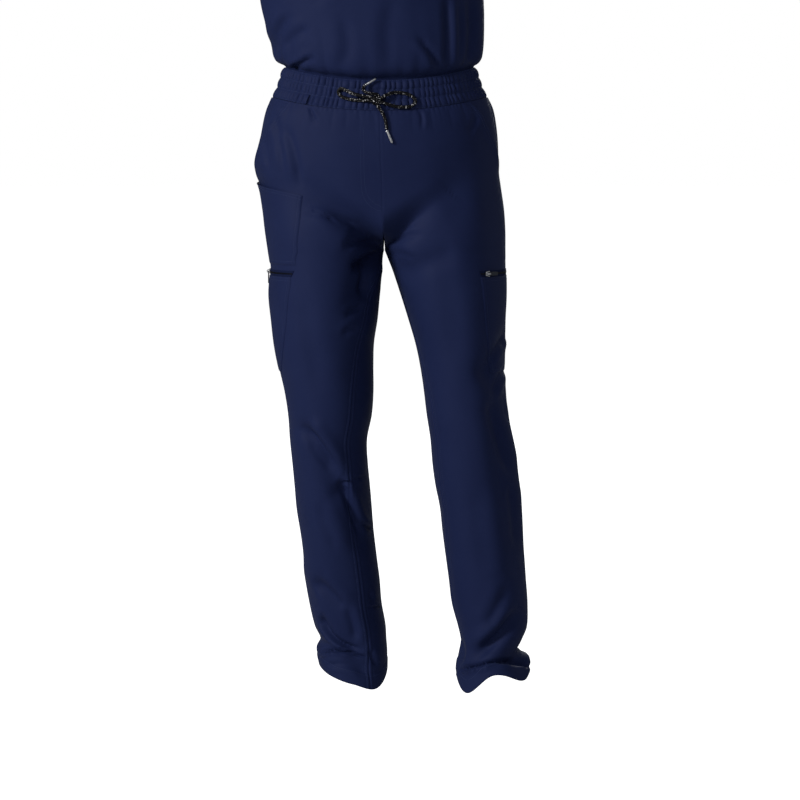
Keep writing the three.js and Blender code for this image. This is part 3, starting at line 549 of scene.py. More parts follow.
def between(places, keys, points):
    """The points of a line at places between its keys."""
    return np.stack([np.interp(places, keys, points[:, k]) for k in range(3)], axis=-1)


def creased(rows, grid, normal):
    """How far the creases of a table raise or press the cloth at each point of a grid."""
    scale = -CAMERA[1] / (grid[..., 1] - CAMERA[1])
    seen_x = CAMERA[0] + (grid[..., 0] - CAMERA[0]) * scale
    seen_z = CAMERA[2] + (grid[..., 2] - CAMERA[2]) * scale
    raised = np.zeros(grid.shape[:2])
    steps = np.linspace(0, 1, CREASE_STEPS)[:, None]
    for face, x0, z0, x1, z1, x2, z2, width, depth, ridge in zip(*rows.values()):
        x, z = (seen_x, seen_z) if face < 0 else (grid[..., 0], grid[..., 2])
        first, middle, last = np.array([[x0, z0], [x1, z1], [x2, z2]])
        control = 2 * middle - (first + last) / 2
        curve = (1 - steps) ** 2 * first + 2 * steps * (1 - steps) * control + steps**2 * last
        reach = 4 * width
        low, high = curve.min(axis=0) - reach, curve.max(axis=0) + reach
        near = (x > low[0]) & (x < high[0]) & (z > low[1]) & (z < high[1])
        near &= normal[..., 1] * face > -0.1
        if not near.any():
            continue
        spot = np.stack([x[near], z[near]], axis=-1)[:, None]
        start, way = curve[:-1], np.diff(curve, axis=0)
        size = np.sum(way * way, axis=-1)
        along = np.clip(np.sum((spot - start) * way, axis=-1) / size, 0, 1)
        off = spot - start - along[..., None] * way
        away = np.hypot(off[..., 0], off[..., 1])
        best = np.argmin(away, axis=1)
        pick = (np.arange(len(best)), best)
        turn = way[best, 0] * off[pick][:, 1] - way[best, 1] * off[pick][:, 0]
        apart = away[pick] * np.sign(turn)
        share = (best + along[pick]) / len(way)
        fade = smoothstep(share, 0, 0.25) * smoothstep(1 - share, 0, 0.25)
        beyond = np.minimum(share, 1 - share) <= 0
        fade = np.where(beyond, 0, 0.15 + 0.85 * fade)
        facing = smoothstep(normal[..., 1][near] * face, -0.1, 0.25)
        trough = -CREASE_DEPTH * depth * bump(apart, 0, width)
        side = np.sign(ridge)
        crest = CREASE_DEPTH * abs(ridge) * bump(apart, side * 1.9 * width, 1.3 * width)
        raised[near] += (trough + crest) * fade * facing
    return raised


# Soft unevenness of worn cloth: a few long waves in each direction
WAVES = table("x y z phase", rng.normal(0, 1, (9, 4)) * [0.05, 0.05, 0.035, 3])


def unevenness(grid):
    total = np.zeros(grid.shape[:2])
    for x, y, z, phase in zip(*WAVES.values()):
        total += np.sin(grid[..., 0] * x + grid[..., 1] * y + grid[..., 2] * z + phase)
    return total / 9


# Gathers: each with its own width and height
GATHER_ENDS = np.concatenate([[0], np.cumsum(rng.uniform(0.65, 1.35, GATHERS))])
GATHER_ENDS *= 360 / GATHER_ENDS[-1]
GATHER_HEIGHTS = rng.uniform(0.5, 1.3, GATHERS)


def gathered(degrees, slide=0):
    """The height, from -1 to about 1, of the gathers at an angle round the waist."""
    place = np.interp((degrees + slide) % 360, GATHER_ENDS, np.arange(GATHERS + 1))
    which = np.minimum(place.astype(int), GATHERS - 1)
    within = place - which
    return (2 * np.abs(np.sin(np.pi * within)) ** 0.6 - 1) * GATHER_HEIGHTS[which]


# A seam's valley, the roll beside it and its topstitched groove
SEAM_FORM = table("place width height", [
    [0, 1.1, -0.8],
    [3.4, 1.6, 0.35],
    [6.2, 0.9, -0.3],
])


def seam_relief(away):
    return sum(height * bump(away, place, width) for place, width, height in zip(*SEAM_FORM.values()))


HEM_STITCH = 21
HEM_FORM = {"fold": 20, "soft": 4, "roll": 0.8, "groove": 0.5, "groove_width": 1.2}


def hem_relief(above):
    """The roll of a hem's turned edge and its stitched groove, by the height above the edge."""
    h = HEM_FORM
    roll = h["roll"] * smoothstep(h["fold"] - above, 0, h["soft"])
    return roll, h["groove"] * bump(above, HEM_STITCH, h["groove_width"])


# Meshes


def new_object(name, data):
    made = bpy.data.objects.new(name, data)
    bpy.context.scene.collection.objects.link(made)
    return made


def make_mesh(name, points, faces, uvs, material):
    """A piece of the garment's body; uvs are places on the flat cloth."""
    mesh = bpy.data.meshes.new(name)
    mesh.from_pydata((points * MM).tolist(), [], [list(face) for face in faces])
    if uvs is not None:
        layer = mesh.uv_layers.new(name="cloth")
        layer.data.foreach_set("uv", (uvs * MM).ravel())
    mesh.materials.append(material)
    mesh.polygons.foreach_set("use_smooth", np.ones(len(mesh.polygons), bool))
    mesh.set_sharp_from_angle(angle=SHARP_ANGLE)
    mesh.update()
    made = new_object(name, mesh)
    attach(made, "garment")
    return made


def volume_of(points, faces):
    """Six times a closed shell's volume, below 0 where its faces look inward."""
    a, b, c, d = (points[faces[:, k]] for k in range(4))
    first = np.sum(a * np.cross(b, c))
    return first + np.sum(a * np.cross(c, d))


def shell(name, outer, inner, material, ring=False):
    """One closed wall between two grids of points."""
    rows, columns = outer.shape[:2]
    spans = columns if ring else columns - 1
    along = lengths(outer, 1, ring)
    down = lengths(outer, 0)
    if ring:
        down = np.concatenate([down, down[:, :1]], axis=1)
    uv = np.stack([along - along[:, [spans // 2]], -down[:, [0]] + 0 * along], axis=-1)

    def strip(corners):
        """One strip of faces and its places on the flat cloth."""
        index = [layer * rows * columns + i * columns + j % columns for i, j, layer in corners]
        places = [uv[i, j] for i, j, layer in corners]
        return np.stack(index, axis=1), np.stack(places, axis=1)

    i, j = [g.ravel() for g in np.meshgrid(np.arange(rows - 1), np.arange(spans), indexing="ij")]
    row, column = np.arange(rows - 1), np.arange(spans)
    top, end = np.zeros_like(column), np.full_like(column, rows - 1)
    strips = [
        strip([(i, j, 0), (i, j + 1, 0), (i + 1, j + 1, 0), (i + 1, j, 0)]),
        strip([(i, j, 1), (i + 1, j, 1), (i + 1, j + 1, 1), (i, j + 1, 1)]),
        strip([(top, column + 1, 0), (top, column, 0), (top, column, 1), (top, column + 1, 1)]),
        strip([(end, column, 0), (end, column + 1, 0), (end, column + 1, 1), (end, column, 1)]),
    ]
    if not ring:
        first, last = np.zeros_like(row), np.full_like(row, spans)
        strips += [
            strip([(row, first, 0), (row + 1, first, 0), (row + 1, first, 1), (row, first, 1)]),
            strip([(row + 1, last, 0), (row, last, 0), (row, last, 1), (row + 1, last, 1)]),
        ]
    faces, uvs = (np.concatenate(part) for part in zip(*strips))
    points = np.concatenate([outer.reshape(-1, 3), inner.reshape(-1, 3)])
    if volume_of(points, faces) < 0:
        faces, uvs = faces[:, ::-1], uvs[:, ::-1]
    return make_mesh(name, points, faces, uvs, material)


def cloth_wall(name, node, grid, normal, push, held, thickness=CLOTH, ring=False):
    """A cloth shell on a surface."""
    outer = grid + normal * push[..., None]
    inner = grid + normal * (push - thickness)[..., None]
    made = shell(name, outer, inner, NAVY, ring)
    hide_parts(node)
    declare_sheet(made, outer, held, ring)
    return outer


def declare_sheet(made, grid, held, ring=False, wide_rows=slice(None)):
    """Does nothing; wide_rows and its other arguments are not used."""


# Sewing: lines of stitches are collected as the pieces are made, and turned into thread later
STITCH = {"pitch": 3.1, "length": 2.5, "radius": 0.3}
TOPSTITCH = 6.2  # distance of a topstitched row from its seam
EDGESTITCH = 1.6
SEWN = {}


def inset(points, normal, distance, axis=1, flip=False):
    """The line on a surface at a distance from one of its edges, with its normals."""
    if axis == 0:
        points, normal = points.swapaxes(0, 1), normal.swapaxes(0, 1)
    if flip:
        points, normal = points[:, ::-1], normal[:, ::-1]
    place = np.array([np.interp(distance, row, np.arange(len(row))) for row in lengths(points, 1)])
    low = np.minimum(place.astype(int), points.shape[1] - 2)
    pick, part = np.arange(len(low)), (place - low)[:, None]
    return [lerp(v[pick, low], v[pick, low + 1], part) for v in (points, normal)]


def on_surface(points, normal, line):
    """Puts x, z points of the front view on a surface."""
    found = []
    for x, z in line:
        apart = np.hypot(points[..., 0] - x, points[..., 2] - z)
        at = np.unravel_index(np.argmin(apart), apart.shape)
        spot, out = points[at], normal[at]
        y = spot[1] - (out[0] * (x - spot[0]) + out[2] * (z - spot[2])) / out[1]
        found.append((np.array([x, y, z]), out))
    return [np.array(values) for values in zip(*found)]


def sew(group, line, kept=None):
    """Adds a line of stitches to a group, or only the points of it that are kept."""
    points, normal = line
    if kept is not None:
        points, normal = points[kept], normal[kept]
    SEWN.setdefault(group, []).append((points, normal))


def spread(points, normal, pitch):
    """Even places along a line: their points, ways and normals."""
    along = run(points)
    at = np.arange(0.5, along[-1] / pitch - 0.4) * pitch
    way = between(at + pitch / 3, along, points) - between(at - pitch / 3, along, points)
    way /= np.linalg.norm(way, axis=-1, keepdims=True) + 1e-9
    return between(at, along, points), way, between(at, along, normal)


def spindles(name, centre, way, out, length, radius, material):
    """Small bars with tapered ends: stitches and zip teeth."""
    side = np.cross(way, out)
    turn = np.radians([45, 135, 225, 315])[:, None]
    ring = out[:, None] * np.sin(turn) + side[:, None] * np.cos(turn)
    rows = [
        centre[:, None] + way[:, None] * (length * along) + ring * (radius * wide)
        for along, wide in ((-0.5, 0.25), (0, 1), (0.5, 0.25))
    ]
    points = np.concatenate(rows, axis=1)
    sides = [
        [4 * r + k, 4 * r + (k + 1) % 4, 4 * r + (k + 1) % 4 + 4, 4 * r + k + 4]
        for r in (0, 1) for k in range(4)
    ]
    one = np.array([*sides, [3, 2, 1, 0], [8, 9, 10, 11]])
    start = 12 * np.arange(len(centre))[:, None, None]
    faces = (one[None] + start).reshape(-1, 4)
    points = points.reshape(-1, 3)
    if volume_of(points, faces) < 0:
        faces = faces[:, ::-1]
    return make_mesh(name, points, faces, None, material)


def thread():
    """Makes each group's stitches as one piece."""
    for group, lines in SEWN.items():
        rows = [spread(points, normal, STITCH["pitch"]) for points, normal in lines]
        centre, way, out = (np.concatenate(part) for part in zip(*rows))
        spindles(f"stitches_{group}", centre + 0.1 * out, way, out,
                 STITCH["length"], STITCH["radius"], THREAD)


# Materials


def set_inputs(node, **values):
    for key, value in values.items():
        node.inputs[key.replace("_", " ")].default_value = value


def nodes_of(name):
    """A new material, its shader, and functions that add and link nodes."""
    material = bpy.data.materials.new(name)
    material.use_nodes = True
    tree = material.node_tree
    shader = tree.nodes["Principled BSDF"]

    def add(kind, **values):
        node = tree.nodes.new(kind)
        for key, value in values.items():
            if hasattr(node, key):
                setattr(node, key, value)
            else:
                set_inputs(node, **{key: value})
        return node

    return material, shader, add, tree.links.new


def two_colours(add, link, factor, dark, light):
    mix = add("ShaderNodeMix", data_type="RGBA", A=(*dark, 1), B=(*light, 1))
    link(factor, mix.inputs["Factor"])
    return mix.outputs["Result"]


NAVY_DARK = (0.0105, 0.0165, 0.0600)
NAVY_LIGHT = (0.0140, 0.0215, 0.0720)
TWILL_SLANT = math.radians(63)


def navy_twill():
    material, shader, add, link = nodes_of("navy_twill")
    set_inputs(shader, Roughness=0.58, Specular_IOR_Level=0.05)
    set_inputs(shader, Sheen_Weight=0.012, Sheen_Roughness=0.4, Sheen_Tint=(0.55, 0.65, 1, 1))
    place = add("ShaderNodeTexCoord")
    cloudy = add("ShaderNodeTexNoise", Scale=14, Detail=3)
    link(place.outputs["Object"], cloudy.inputs["Vector"])
    navy = two_colours(add, link, cloudy.outputs["Fac"], NAVY_DARK, NAVY_LIGHT)
    link(navy, shader.inputs["Base Color"])
    weave = add("ShaderNodeMapping", Rotation=(0, 0, TWILL_SLANT))
    link(place.outputs["UV"], weave.inputs["Vector"])
    ribs = add("ShaderNodeTexWave", Scale=620, Distortion=0.4, Detail=1)
    link(weave.outputs["Vector"], ribs.inputs["Vector"])
    raised = add("ShaderNodeBump", Strength=0.18, Distance=0.00012)
    link(ribs.outputs["Fac"], raised.inputs["Height"])
    link(raised.outputs["Normal"], shader.inputs["Normal"])
    return material


def plain(name, colour, roughness, metallic=0.0, shine=0.5):
    """One colour with a fine grain."""
    material, shader, add, link = nodes_of(name)
    set_inputs(shader, Specular_IOR_Level=shine, Roughness=roughness, Metallic=metallic)
    place = add("ShaderNodeTexCoord")
    grain = add("ShaderNodeTexNoise", Scale=900, Detail=2)
    link(place.outputs["Object"], grain.inputs["Vector"])
    dark = tuple(0.8 * c for c in colour)
    link(two_colours(add, link, grain.outputs["Fac"], dark, colour), shader.inputs["Base Color"])
    return material


def black_braid():
    """Black yarn with a few pale flecks."""
    material, shader, add, link = nodes_of("black_braid")
    set_inputs(shader, Roughness=0.6, Specular_IOR_Level=0.15)
    place = add("ShaderNodeTexCoord")
    flecks = add("ShaderNodeTexNoise", Scale=560, Detail=0)
    link(place.outputs["Object"], flecks.inputs["Vector"])
    few = add("ShaderNodeMapRange", From_Min=0.69, From_Max=0.73)
    link(flecks.outputs["Fac"], few.inputs["Value"])
    dark, pale = (0.0025, 0.0025, 0.0035), (0.5, 0.5, 0.52)
    link(two_colours(add, link, few.outputs["Result"], dark, pale), shader.inputs["Base Color"])
    return material


NAVY = navy_twill()
METAL = plain("satin_metal", (0.75, 0.76, 0.78), 0.28, 1.0)
DARK_METAL = plain("dark_metal", (0.03, 0.033, 0.045), 0.4, 0.6)
ZIP_TAPE = plain("zip_tape", (0.0090, 0.0140, 0.0480), 0.9, shine=0.03)
ZIP_COIL = plain("zip_coil", (0.004, 0.005, 0.012), 0.5, shine=0.2)
THREAD = plain("navy_thread", (0.034, 0.050, 0.130), 0.7, shine=0.1)
BRAID = black_braid()


# Trouser panels
EDGE_STEPS = np.array([0, 0.7, 1.5, 2.5, 4, 5.3, 6.2, 7.2, 9, 11.5])
EVEN_FROM = 14  # distance from an edge at which the even steps begin
PANEL_WIDTH = 250
COLUMNS = {"front": 96, "back": 62}
ROW_STEP = 4.0
FINE_ROW_STEP = 2.4
FINE_ROWS_Z = -830


def across(width, count):
    """Shares of the way across a piece, closer together along both edges."""
    edge, even = EDGE_STEPS / width, EVEN_FROM / width
    return np.concatenate([edge, np.linspace(even, 1 - even, count), 1 - edge[::-1]])


def down(top, bottom):
    """Heights of a piece's rows, closer together along both edges and above the hems."""
    stops = [top - EVEN_FROM, bottom + EVEN_FROM]
    if bottom < FINE_ROWS_Z < top:
        stops.insert(1, FINE_ROWS_Z)
    steps = (ROW_STEP, FINE_ROW_STEP)
    middle = [np.arange(a, b, -step) for a, b, step in zip(stops, stops[1:], steps)]
    return np.concatenate([top - EDGE_STEPS, *middle, bottom + EDGE_STEPS[::-1]])


# The panels' upper seam allowance goes up behind the waistband and closes the gap below it.
ALLOWANCE = table("z push", [[-40, -5.2], [-46.2, -4]])


def with_allowance(z):
    return np.concatenate([ALLOWANCE["z"], z])[:, None]


def tucked_in(push, deeper=0):
    push = push.copy()
    push[:2] = ALLOWANCE["push"][:, None] - deeper
    return push


def slash_share(z):
    return np.where(z < SLASH_END_Z, 0.5, np.interp(-z, -SLASH["z"], SLASH["share"]))


def leg_axis(side, z):
    name = side_name(side)
    leg = read(LEGS[name], np.minimum(z, CROTCH_Z))
    high = z > CROTCH_Z
    return points_of(
        np.where(high, side * 60, (leg["outer"] + leg["inner"]) / 2),
        np.where(high, 0, (leg["front"] + leg["back"]) / 2),
        z,
    )


UNEVEN = 1.8  # height of the cloth's unevenness
# The gathers' height below the band, and how far down they fade: least, and what is added to it
FALL = {"height": 0.6, "least": 3, "more": 12}
# Wider folds below them
WIDE_FOLDS = {"height": 0.45, "below": 16, "width": 18}


def waist_degrees(side, share):
    turn = -90 + 180 * share
    return turn if side > 0 else 180 - turn


def trouser_push(side, share, z, grid, normal):
    """Creases, unevenness and the gathers below the waistband."""
    name = side_name(side)
    below = -BAND_HEIGHT - z
    turn = waist_degrees(side, share)
    uneven = 0.5 + 0.5 * np.sin(np.radians(turn * 7)) * np.sin(np.radians(turn * 3 + 50))
    reach = FALL["least"] + FALL["more"] * uneven**3
    gathers = gathered(turn) * FALL["height"] * np.exp(-below / reach)
    w = WIDE_FOLDS
    wide = gathered(turn * 0.37 + 20) * w["height"] * bump(below, w["below"], w["width"])
    soft = unevenness(grid) * UNEVEN * smoothstep(below, 0, 60)
    free = creased(CREASES[name], grid, normal) + (gathers + wide) + soft
    return lerp(-0.4 + 0.5 * gathered(turn), free, smoothstep(below, -1, 8))


def panel_grid(side, share, z):
    grid = trouser(side, share, z)
    return grid, outward(grid, leg_axis(side, z))


# The slash pockets' rolled edge and its topstitched groove
SLASH_ROLL = {"height": 2.8, "width": 15}
SLASH_GROOVE = {"depth": 0.4, "at": 7, "width": 0.9}
PRESSED_FLAT = 0.75  # share of the relief that the centre seam loses above the crotch


def slash_relief(away):
    roll, groove = SLASH_ROLL, SLASH_GROOVE
    pressed = groove["depth"] * bump(away, groove["at"], groove["width"])
    return roll["height"] * bump(away, 0, roll["width"]) - pressed


def trouser_panels():
    z = with_allowance(down(-BAND_HEIGHT - SEAM, HEM_Z))
    for name, side in (("left", -1), ("right", 1)):
        for half in ("front", "back"):
            c = across(PANEL_WIDTH, COLUMNS[half])[None, :]
            first, last = (0, slash_share(z)) if half == "front" else (0.5, 1)
            share, height = np.broadcast_arrays(lerp(first, last, c), z)
            grid, normal = panel_grid(side, share, height)
            along = lengths(grid, 1)
            rest = along[:, -1:] - along
            centre, other = (along, rest) if half == "front" else (rest, along)
            flat = PRESSED_FLAT * smoothstep(height, CROTCH_Z - 20, CROTCH_Z + 30)
            roll, groove = hem_relief(height - HEM_Z)
            push = trouser_push(side, share, height, grid, normal)
            push = push + roll * smoothstep(height - HEM_Z, 0, 2) - groove
            push = push + seam_relief(centre) * (1 - flat)
            if half == "front":
                mouth = smoothstep(height, SLASH_END_Z + 2, SLASH_END_Z + 34)
                mouth = mouth * smoothstep(-height, 50, 72)
                push = push + seam_relief(other) * (1 - mouth)
                push = push + mouth * slash_relief(other)
            else:
                push = push + seam_relief(other)
            push = tucked_in(push)
            outer = cloth_wall(f"cloth_{half}_{name}", f"{half}_{name}", grid, normal, push, "hung")
            sew_panel(name, half, outer, normal, z[:, 0])
        hip_facing(name, side)


# The fly's curved stitches: x and z of the front view
FLY = [
    (-28.6, -62), (-28.6, -90), (-28.4, -120), (-28, -150), (-27.2, -172),
    (-24.6, -186), (-19, -196), (-11, -203), (-2, -207.5), (3.4, -209),
]


def sew_panel(name, half, outer, normal, z):
    """The topstitched rows of one trouser panel."""
    group = f"{half}_{name}"
    sew(group, inset(outer, normal, HEM_STITCH, axis=0, flip=True))
    if half == "back":
        sew(group, inset(outer, normal, TOPSTITCH, flip=True), (z < -70) & (z > CROTCH_Z))
        return
    sew(group, inset(outer, normal, TOPSTITCH), z < CROTCH_Z - 20)
    sew(group, inset(outer, normal, TOPSTITCH, flip=True), z < SLASH_END_Z - 12)
    for distance in (EDGESTITCH, TOPSTITCH + 1):
        sew(group, inset(outer, normal, distance, flip=True), (z > SLASH_END_Z) & (z < -52))
    if name == "left":
        for shift in (0, 5.5):
            sew(group, on_surface(outer, normal, [(x + shift * 0.9, z + shift) for x, z in FLY]))


FACING_UNDER = 0.035  # share of the way round that the facing goes on under the slash
FACING_COLUMNS = 34


def hip_facing(name, side):
    """The cloth behind a slash pocket, sunk under the slash and flush at the side seam."""
    z = with_allowance(down(-BAND_HEIGHT - SEAM, SLASH_END_Z + 2))
    c = np.linspace(0, 1, FACING_COLUMNS)[None, :]
    share, height = np.broadcast_arrays(lerp(slash_share(z) - FACING_UNDER, 0.5, c), z)
    grid, normal = panel_grid(side, share, height)
    along = lengths(grid, 1)
    outer_edge = along[:, -1:] - along
    sunk = -1.8 - 1.8 * bump(along, 9, 12)
    sunk = sunk * (1 - smoothstep(along, 14, 34) * (1 - smoothstep(outer_edge, 0, 6)))
    sunk = np.where(outer_edge < 8, np.maximum(sunk, -1.2 * outer_edge), sunk)
    sunk = (sunk + seam_relief(outer_edge)) * smoothstep(-BAND_HEIGHT - height, -1, 16)
    push = tucked_in(trouser_push(side, share, height, grid, normal) + sunk, 1.3)
    cloth_wall(f"cloth_hip_facing_{name}", f"hip_facing_{name}", grid, normal, push, "hung")


# Waistband: three puffed channels between rows of stitching
STITCH_ROWS = np.array([-1.5, -15.5, -30.5, -44.5])
CHANNEL = 15.2
BAND_COLUMNS = 8 * GATHERS
BAND_ROWS = 34
# The gathers' height at the stitching and what a channel adds, a channel's puff, and the whole's sink
PUFF = {"gathers": 0.55, "more": 0.9, "height": 1.5, "sunk": 0.5}
BAND_EDGES = table("z depth width", [[0, 1.2, 0.9], [-BAND_HEIGHT, 0.5, 0.8]])


def channel_puff(z):
    """0 at the rows of stitching and 1 in the middle of each channel."""
    ends = np.sort(STITCH_ROWS)
    place = np.interp(z, ends, np.arange(len(ends)))
    return np.sin(np.pi * (place % 1)) ** 0.6 * ((z > ends[0]) & (z < ends[-1]))


def waistband():
    degrees = np.linspace(0, 360, BAND_COLUMNS, endpoint=False)[None, :]
    z = np.linspace(0, -BAND_HEIGHT, BAND_ROWS)[:, None]
    angle, height = np.broadcast_arrays(np.radians(degrees), z)
    channel = np.floor(-height / CHANNEL)
    puff = channel_puff(height)
    gathers = gathered(np.degrees(angle), 0.5 * channel) * (PUFF["gathers"] + PUFF["more"] * puff)
    rise = gathers + PUFF["height"] * puff - PUFF["sunk"]
    for edge, depth, width in zip(*BAND_EDGES.values()):
        rise = rise - depth * bump(height, edge, width)
    outer = band(angle, height, rise)
    inner = band(angle, height, np.full_like(height, -BAND_WALL))
    made = shell("cloth_waistband", outer, inner, NAVY, ring=True)
    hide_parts("waistband")
    declare_sheet(made, outer, "gathered", ring=True)
    out = points_of(np.cos(angle), np.sin(angle), 0)
    for row in STITCH_ROWS:
        i = np.argmin(np.abs(z[:, 0] - row))
        sew("waistband", (outer[i], out[i]))


# Patches on the trousers
HIP_POCKET = {"from": 5, "to": 12, "front": -186, "side": -163, "bottom": -292}
HIP_POCKET_FLAT = (150, 120)  # about its width and length
CARGO_FLAT = (130, 150)
POCKET_COLUMNS = 30
UPRIGHT_COLUMNS = 1.1  # how far the lower corner lies back of the upper one
ZIP_Z = -305
ZIP_WIDTH = 9
TAPE = 0.6  # thickness of the zips' tapes
ZIP_FROM, ZIP_TO = 6, 11
CARGO_DEPTH = 150
PANEL_COLUMNS = 20


def straight_front(side, column, z, first, last):
    """Moves a patch's columns so that its front edge is straight in the front view."""
    heights = np.linspace(z[0, 0], z[-1, 0], 60)
    columns = np.linspace(first - 1.6, first + 1.6, 120)
    spots = trouser(side, columns[None, :] / PANEL_COLUMNS, heights[:, None])
    ends = [np.interp(c, columns, spots[i, :, 0]) for i, c in ((0, first), (-1, last))]
    wanted = np.linspace(*ends, len(heights))
    found = [columns[np.argmin(np.abs(row - x))] for x, row in zip(wanted, spots[..., 0])]
    smooth = np.polyval(np.polyfit(heights, found, 4), heights)
    edge = np.interp(-z, -heights, smooth)
    share = (column - column[:, :1]) / (column[:, -1:] - column[:, :1])
    return lerp(edge, column[:, -1:], share)


def patch(name, node, side, column, z, stand, thickness, material=None):
    """A pocket with its rims and stitches, or a plain strip of another material."""
    share, z = np.broadcast_arrays(column / PANEL_COLUMNS, z)
    grid, normal = panel_grid(side, share, z)
    push = trouser_push(side, share, z, grid, normal) + stand
    if material is None:
        along, height = lengths(grid, 1), lengths(grid, 0)
        rim = np.minimum.reduce([along, along[:, -1:] - along, height[-1:] - height])
        thin = 0.75 * thickness * (1 - smoothstep(rim, 0, 2.6)) + 0.2 * bump(rim, TOPSTITCH, 0.9)
        outer = cloth_wall(name, node, grid, normal, push + thickness - thin, "hung", thickness)
        group = node.replace("cargo_", "")
        for axis, flip in ((1, False), (1, True), (0, True)):
            sew(group, inset(outer, normal, TOPSTITCH, axis, flip))
        for distance in (EDGESTITCH, TOPSTITCH):
            sew(group, inset(outer, normal, distance, axis=0))
        return outer, normal
    outer = grid + normal * (push + thickness)[..., None]
    made = shell(name, outer, grid + normal * push[..., None], material)
    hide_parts(node)
    return outer, normal


def hip_pocket():
    p = HIP_POCKET
    column = lerp(p["from"], p["to"], across(HIP_POCKET_FLAT[0], POCKET_COLUMNS))[None, :]
    share = (column - p["from"]) / (p["to"] - p["from"])
    mouth = lerp(p["front"], p["side"], np.sin(np.pi / 2 * share))
    v = across(HIP_POCKET_FLAT[1], 24)[:, None]
    z = lerp(mouth, p["bottom"], v)
    column = straight_front(-1, column, z, p["from"], p["from"] + UPRIGHT_COLUMNS)
    middle = np.sin(np.pi * np.clip(share, 0, 1)) ** 0.6
    stand = 0.1 + middle * (3.6 * np.exp(-v / 0.22) + 1 * np.sin(np.pi * v))
    patch("cloth_hip_pocket", "hip_pocket", -1, column, z, stand, CLOTH)


def cargo_pockets():
    for name, side in (("left", -1), ("right", 1)):
        column = lerp(ZIP_FROM, ZIP_TO, across(CARGO_FLAT[0], POCKET_COLUMNS))[None, :]
        share = (column - ZIP_FROM) / (ZIP_TO - ZIP_FROM)
        top = ZIP_Z - ZIP_WIDTH / 2 - SEAM
        v = across(CARGO_FLAT[1], 28)[:, None]
        z = lerp(top, top - CARGO_DEPTH, v)
        zip_column = column
        column = straight_front(side, column, z, ZIP_FROM, ZIP_FROM)
        stand = 0.1 + 2.2 * (np.sin(np.pi * share) * np.sin(np.pi * v) ** 0.6) ** 0.7
        patch(f"cloth_cargo_pocket_{name}", f"cargo_pocket_{name}", side, column, z, stand, CLOTH)
        z = np.linspace(ZIP_Z + ZIP_WIDTH / 2, ZIP_Z - ZIP_WIDTH / 2, 9)[:, None]
        tape, node = f"zip_tape_{name}", f"zip_{name}"
        outer, normal = patch(tape, node, side, zip_column, z, SEAM, TAPE, ZIP_TAPE)
        zip_teeth(f"zip_teeth_{name}", outer[4], normal[4])


TOOTH = {"pitch": 1.3, "length": 2, "radius": 0.4, "apart": 0.6}


def zip_teeth(name, line, normal):
    """The coil's two rows of turns, which mesh along the tape's middle."""
    centre, way, out = spread(line, normal, TOOTH["pitch"] / 2)
    up = np.cross(out, way)
    row = np.where(np.arange(len(centre)) % 2 == 0, 1, -1)[:, None]
    centre = centre + up * row * TOOTH["apart"] + 0.2 * out
    spindles(name, centre, up, out, TOOTH["length"], TOOTH["radius"], ZIP_COIL)


# Top
SIDE_SHARE = 0.0006


def top_push(face, u, height, grid, normal):
    """Creases, unevenness and the blousing folds above the waistband."""
    z = ARM_Z + np.minimum(height, 0)
    low = smoothstep(z, 0, 10) * np.exp(-np.maximum(z - 4, 0) / 34)
    turn = np.degrees(np.arctan2(face * np.cos(np.pi * (u - 0.5)), np.sin(np.pi * (u - 0.5))))
    tucks = 1.6 * gathered(turn * 0.31 + 40) + 0.5 * gathered(turn)
    return creased(CREASES["top"], grid, normal) + unevenness(grid) * UNEVEN + tucks * low


def top_panels():
    low = np.concatenate([[TOP_HEM_Z, -40, -20, -8], np.arange(0, 20, 2), np.arange(20, 282, 4)])
    heights = np.concatenate([low - ARM_Z, np.linspace(0, 1, 46)])[:, None]
    corners = [TIP_U, NECK_U, 1 - TIP_U, 1 - NECK_U, 0.5]
    u = np.unique(np.concatenate([across(450, 96), corners]).round(5))
    u = np.clip(u, SIDE_SHARE, 1 - SIDE_SHARE)[None, :]
    for name, face in (("front", -1), ("back", 1)):
        share, height = np.broadcast_arrays(u, heights)
        under = torso(face, share, ARM_Z + np.minimum(height, 0))
        over = yoke(face, share, np.maximum(height, 0))
        grid = np.where(height[..., None] <= 0, under, over)
        inside = points_of(TOP_CENTRE + 0 * height, 0, np.minimum(ARM_Z + height, CHEST_Z))
        normal = outward(grid, inside)
        along = lengths(grid, 1)
        # Folds end at the seams, so that the pieces meet there.
        from_seam = np.minimum(along, along[:, -1:] - along)
        free = smoothstep(1 - height, 0, 0.06) * smoothstep(from_seam, 0, 18)
        push = top_push(face, share, height, grid, normal) * free
        push = push + seam_relief(along) + seam_relief(along[:, -1:] - along)
        outer = grid + normal * push[..., None]
        inner = grid + normal * (push - CLOTH)[..., None]
        # The two panels keep a seam's gap at the shoulders' plane.
        kept = SHOULDER_Y + face * SEAM / 2
        for points in (outer, inner):
            y = points[..., 1]
            cut = np.minimum(y, kept) if face < 0 else np.maximum(y, kept)
            points[..., 1] = np.where(height > 0.5, cut, y)
        made = shell(f"cloth_top_{name}", outer, inner, NAVY)
        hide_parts(f"top_{name}")
        declare_sheet(made, outer, "hung", wide_rows=height[:, 0] <= 0)


SLEEVE_X = {-1: -247, 1: 231}
SLEEVE_HEM = {"y": 4, "across": 47, "deep": 70}
SLEEVE_GAP = 0.5
SLEEVE_COLUMNS = 140
STATIONS = 2 * (len(ARMHOLE["u"]) - 1)  # round an armhole, up its front and down its back


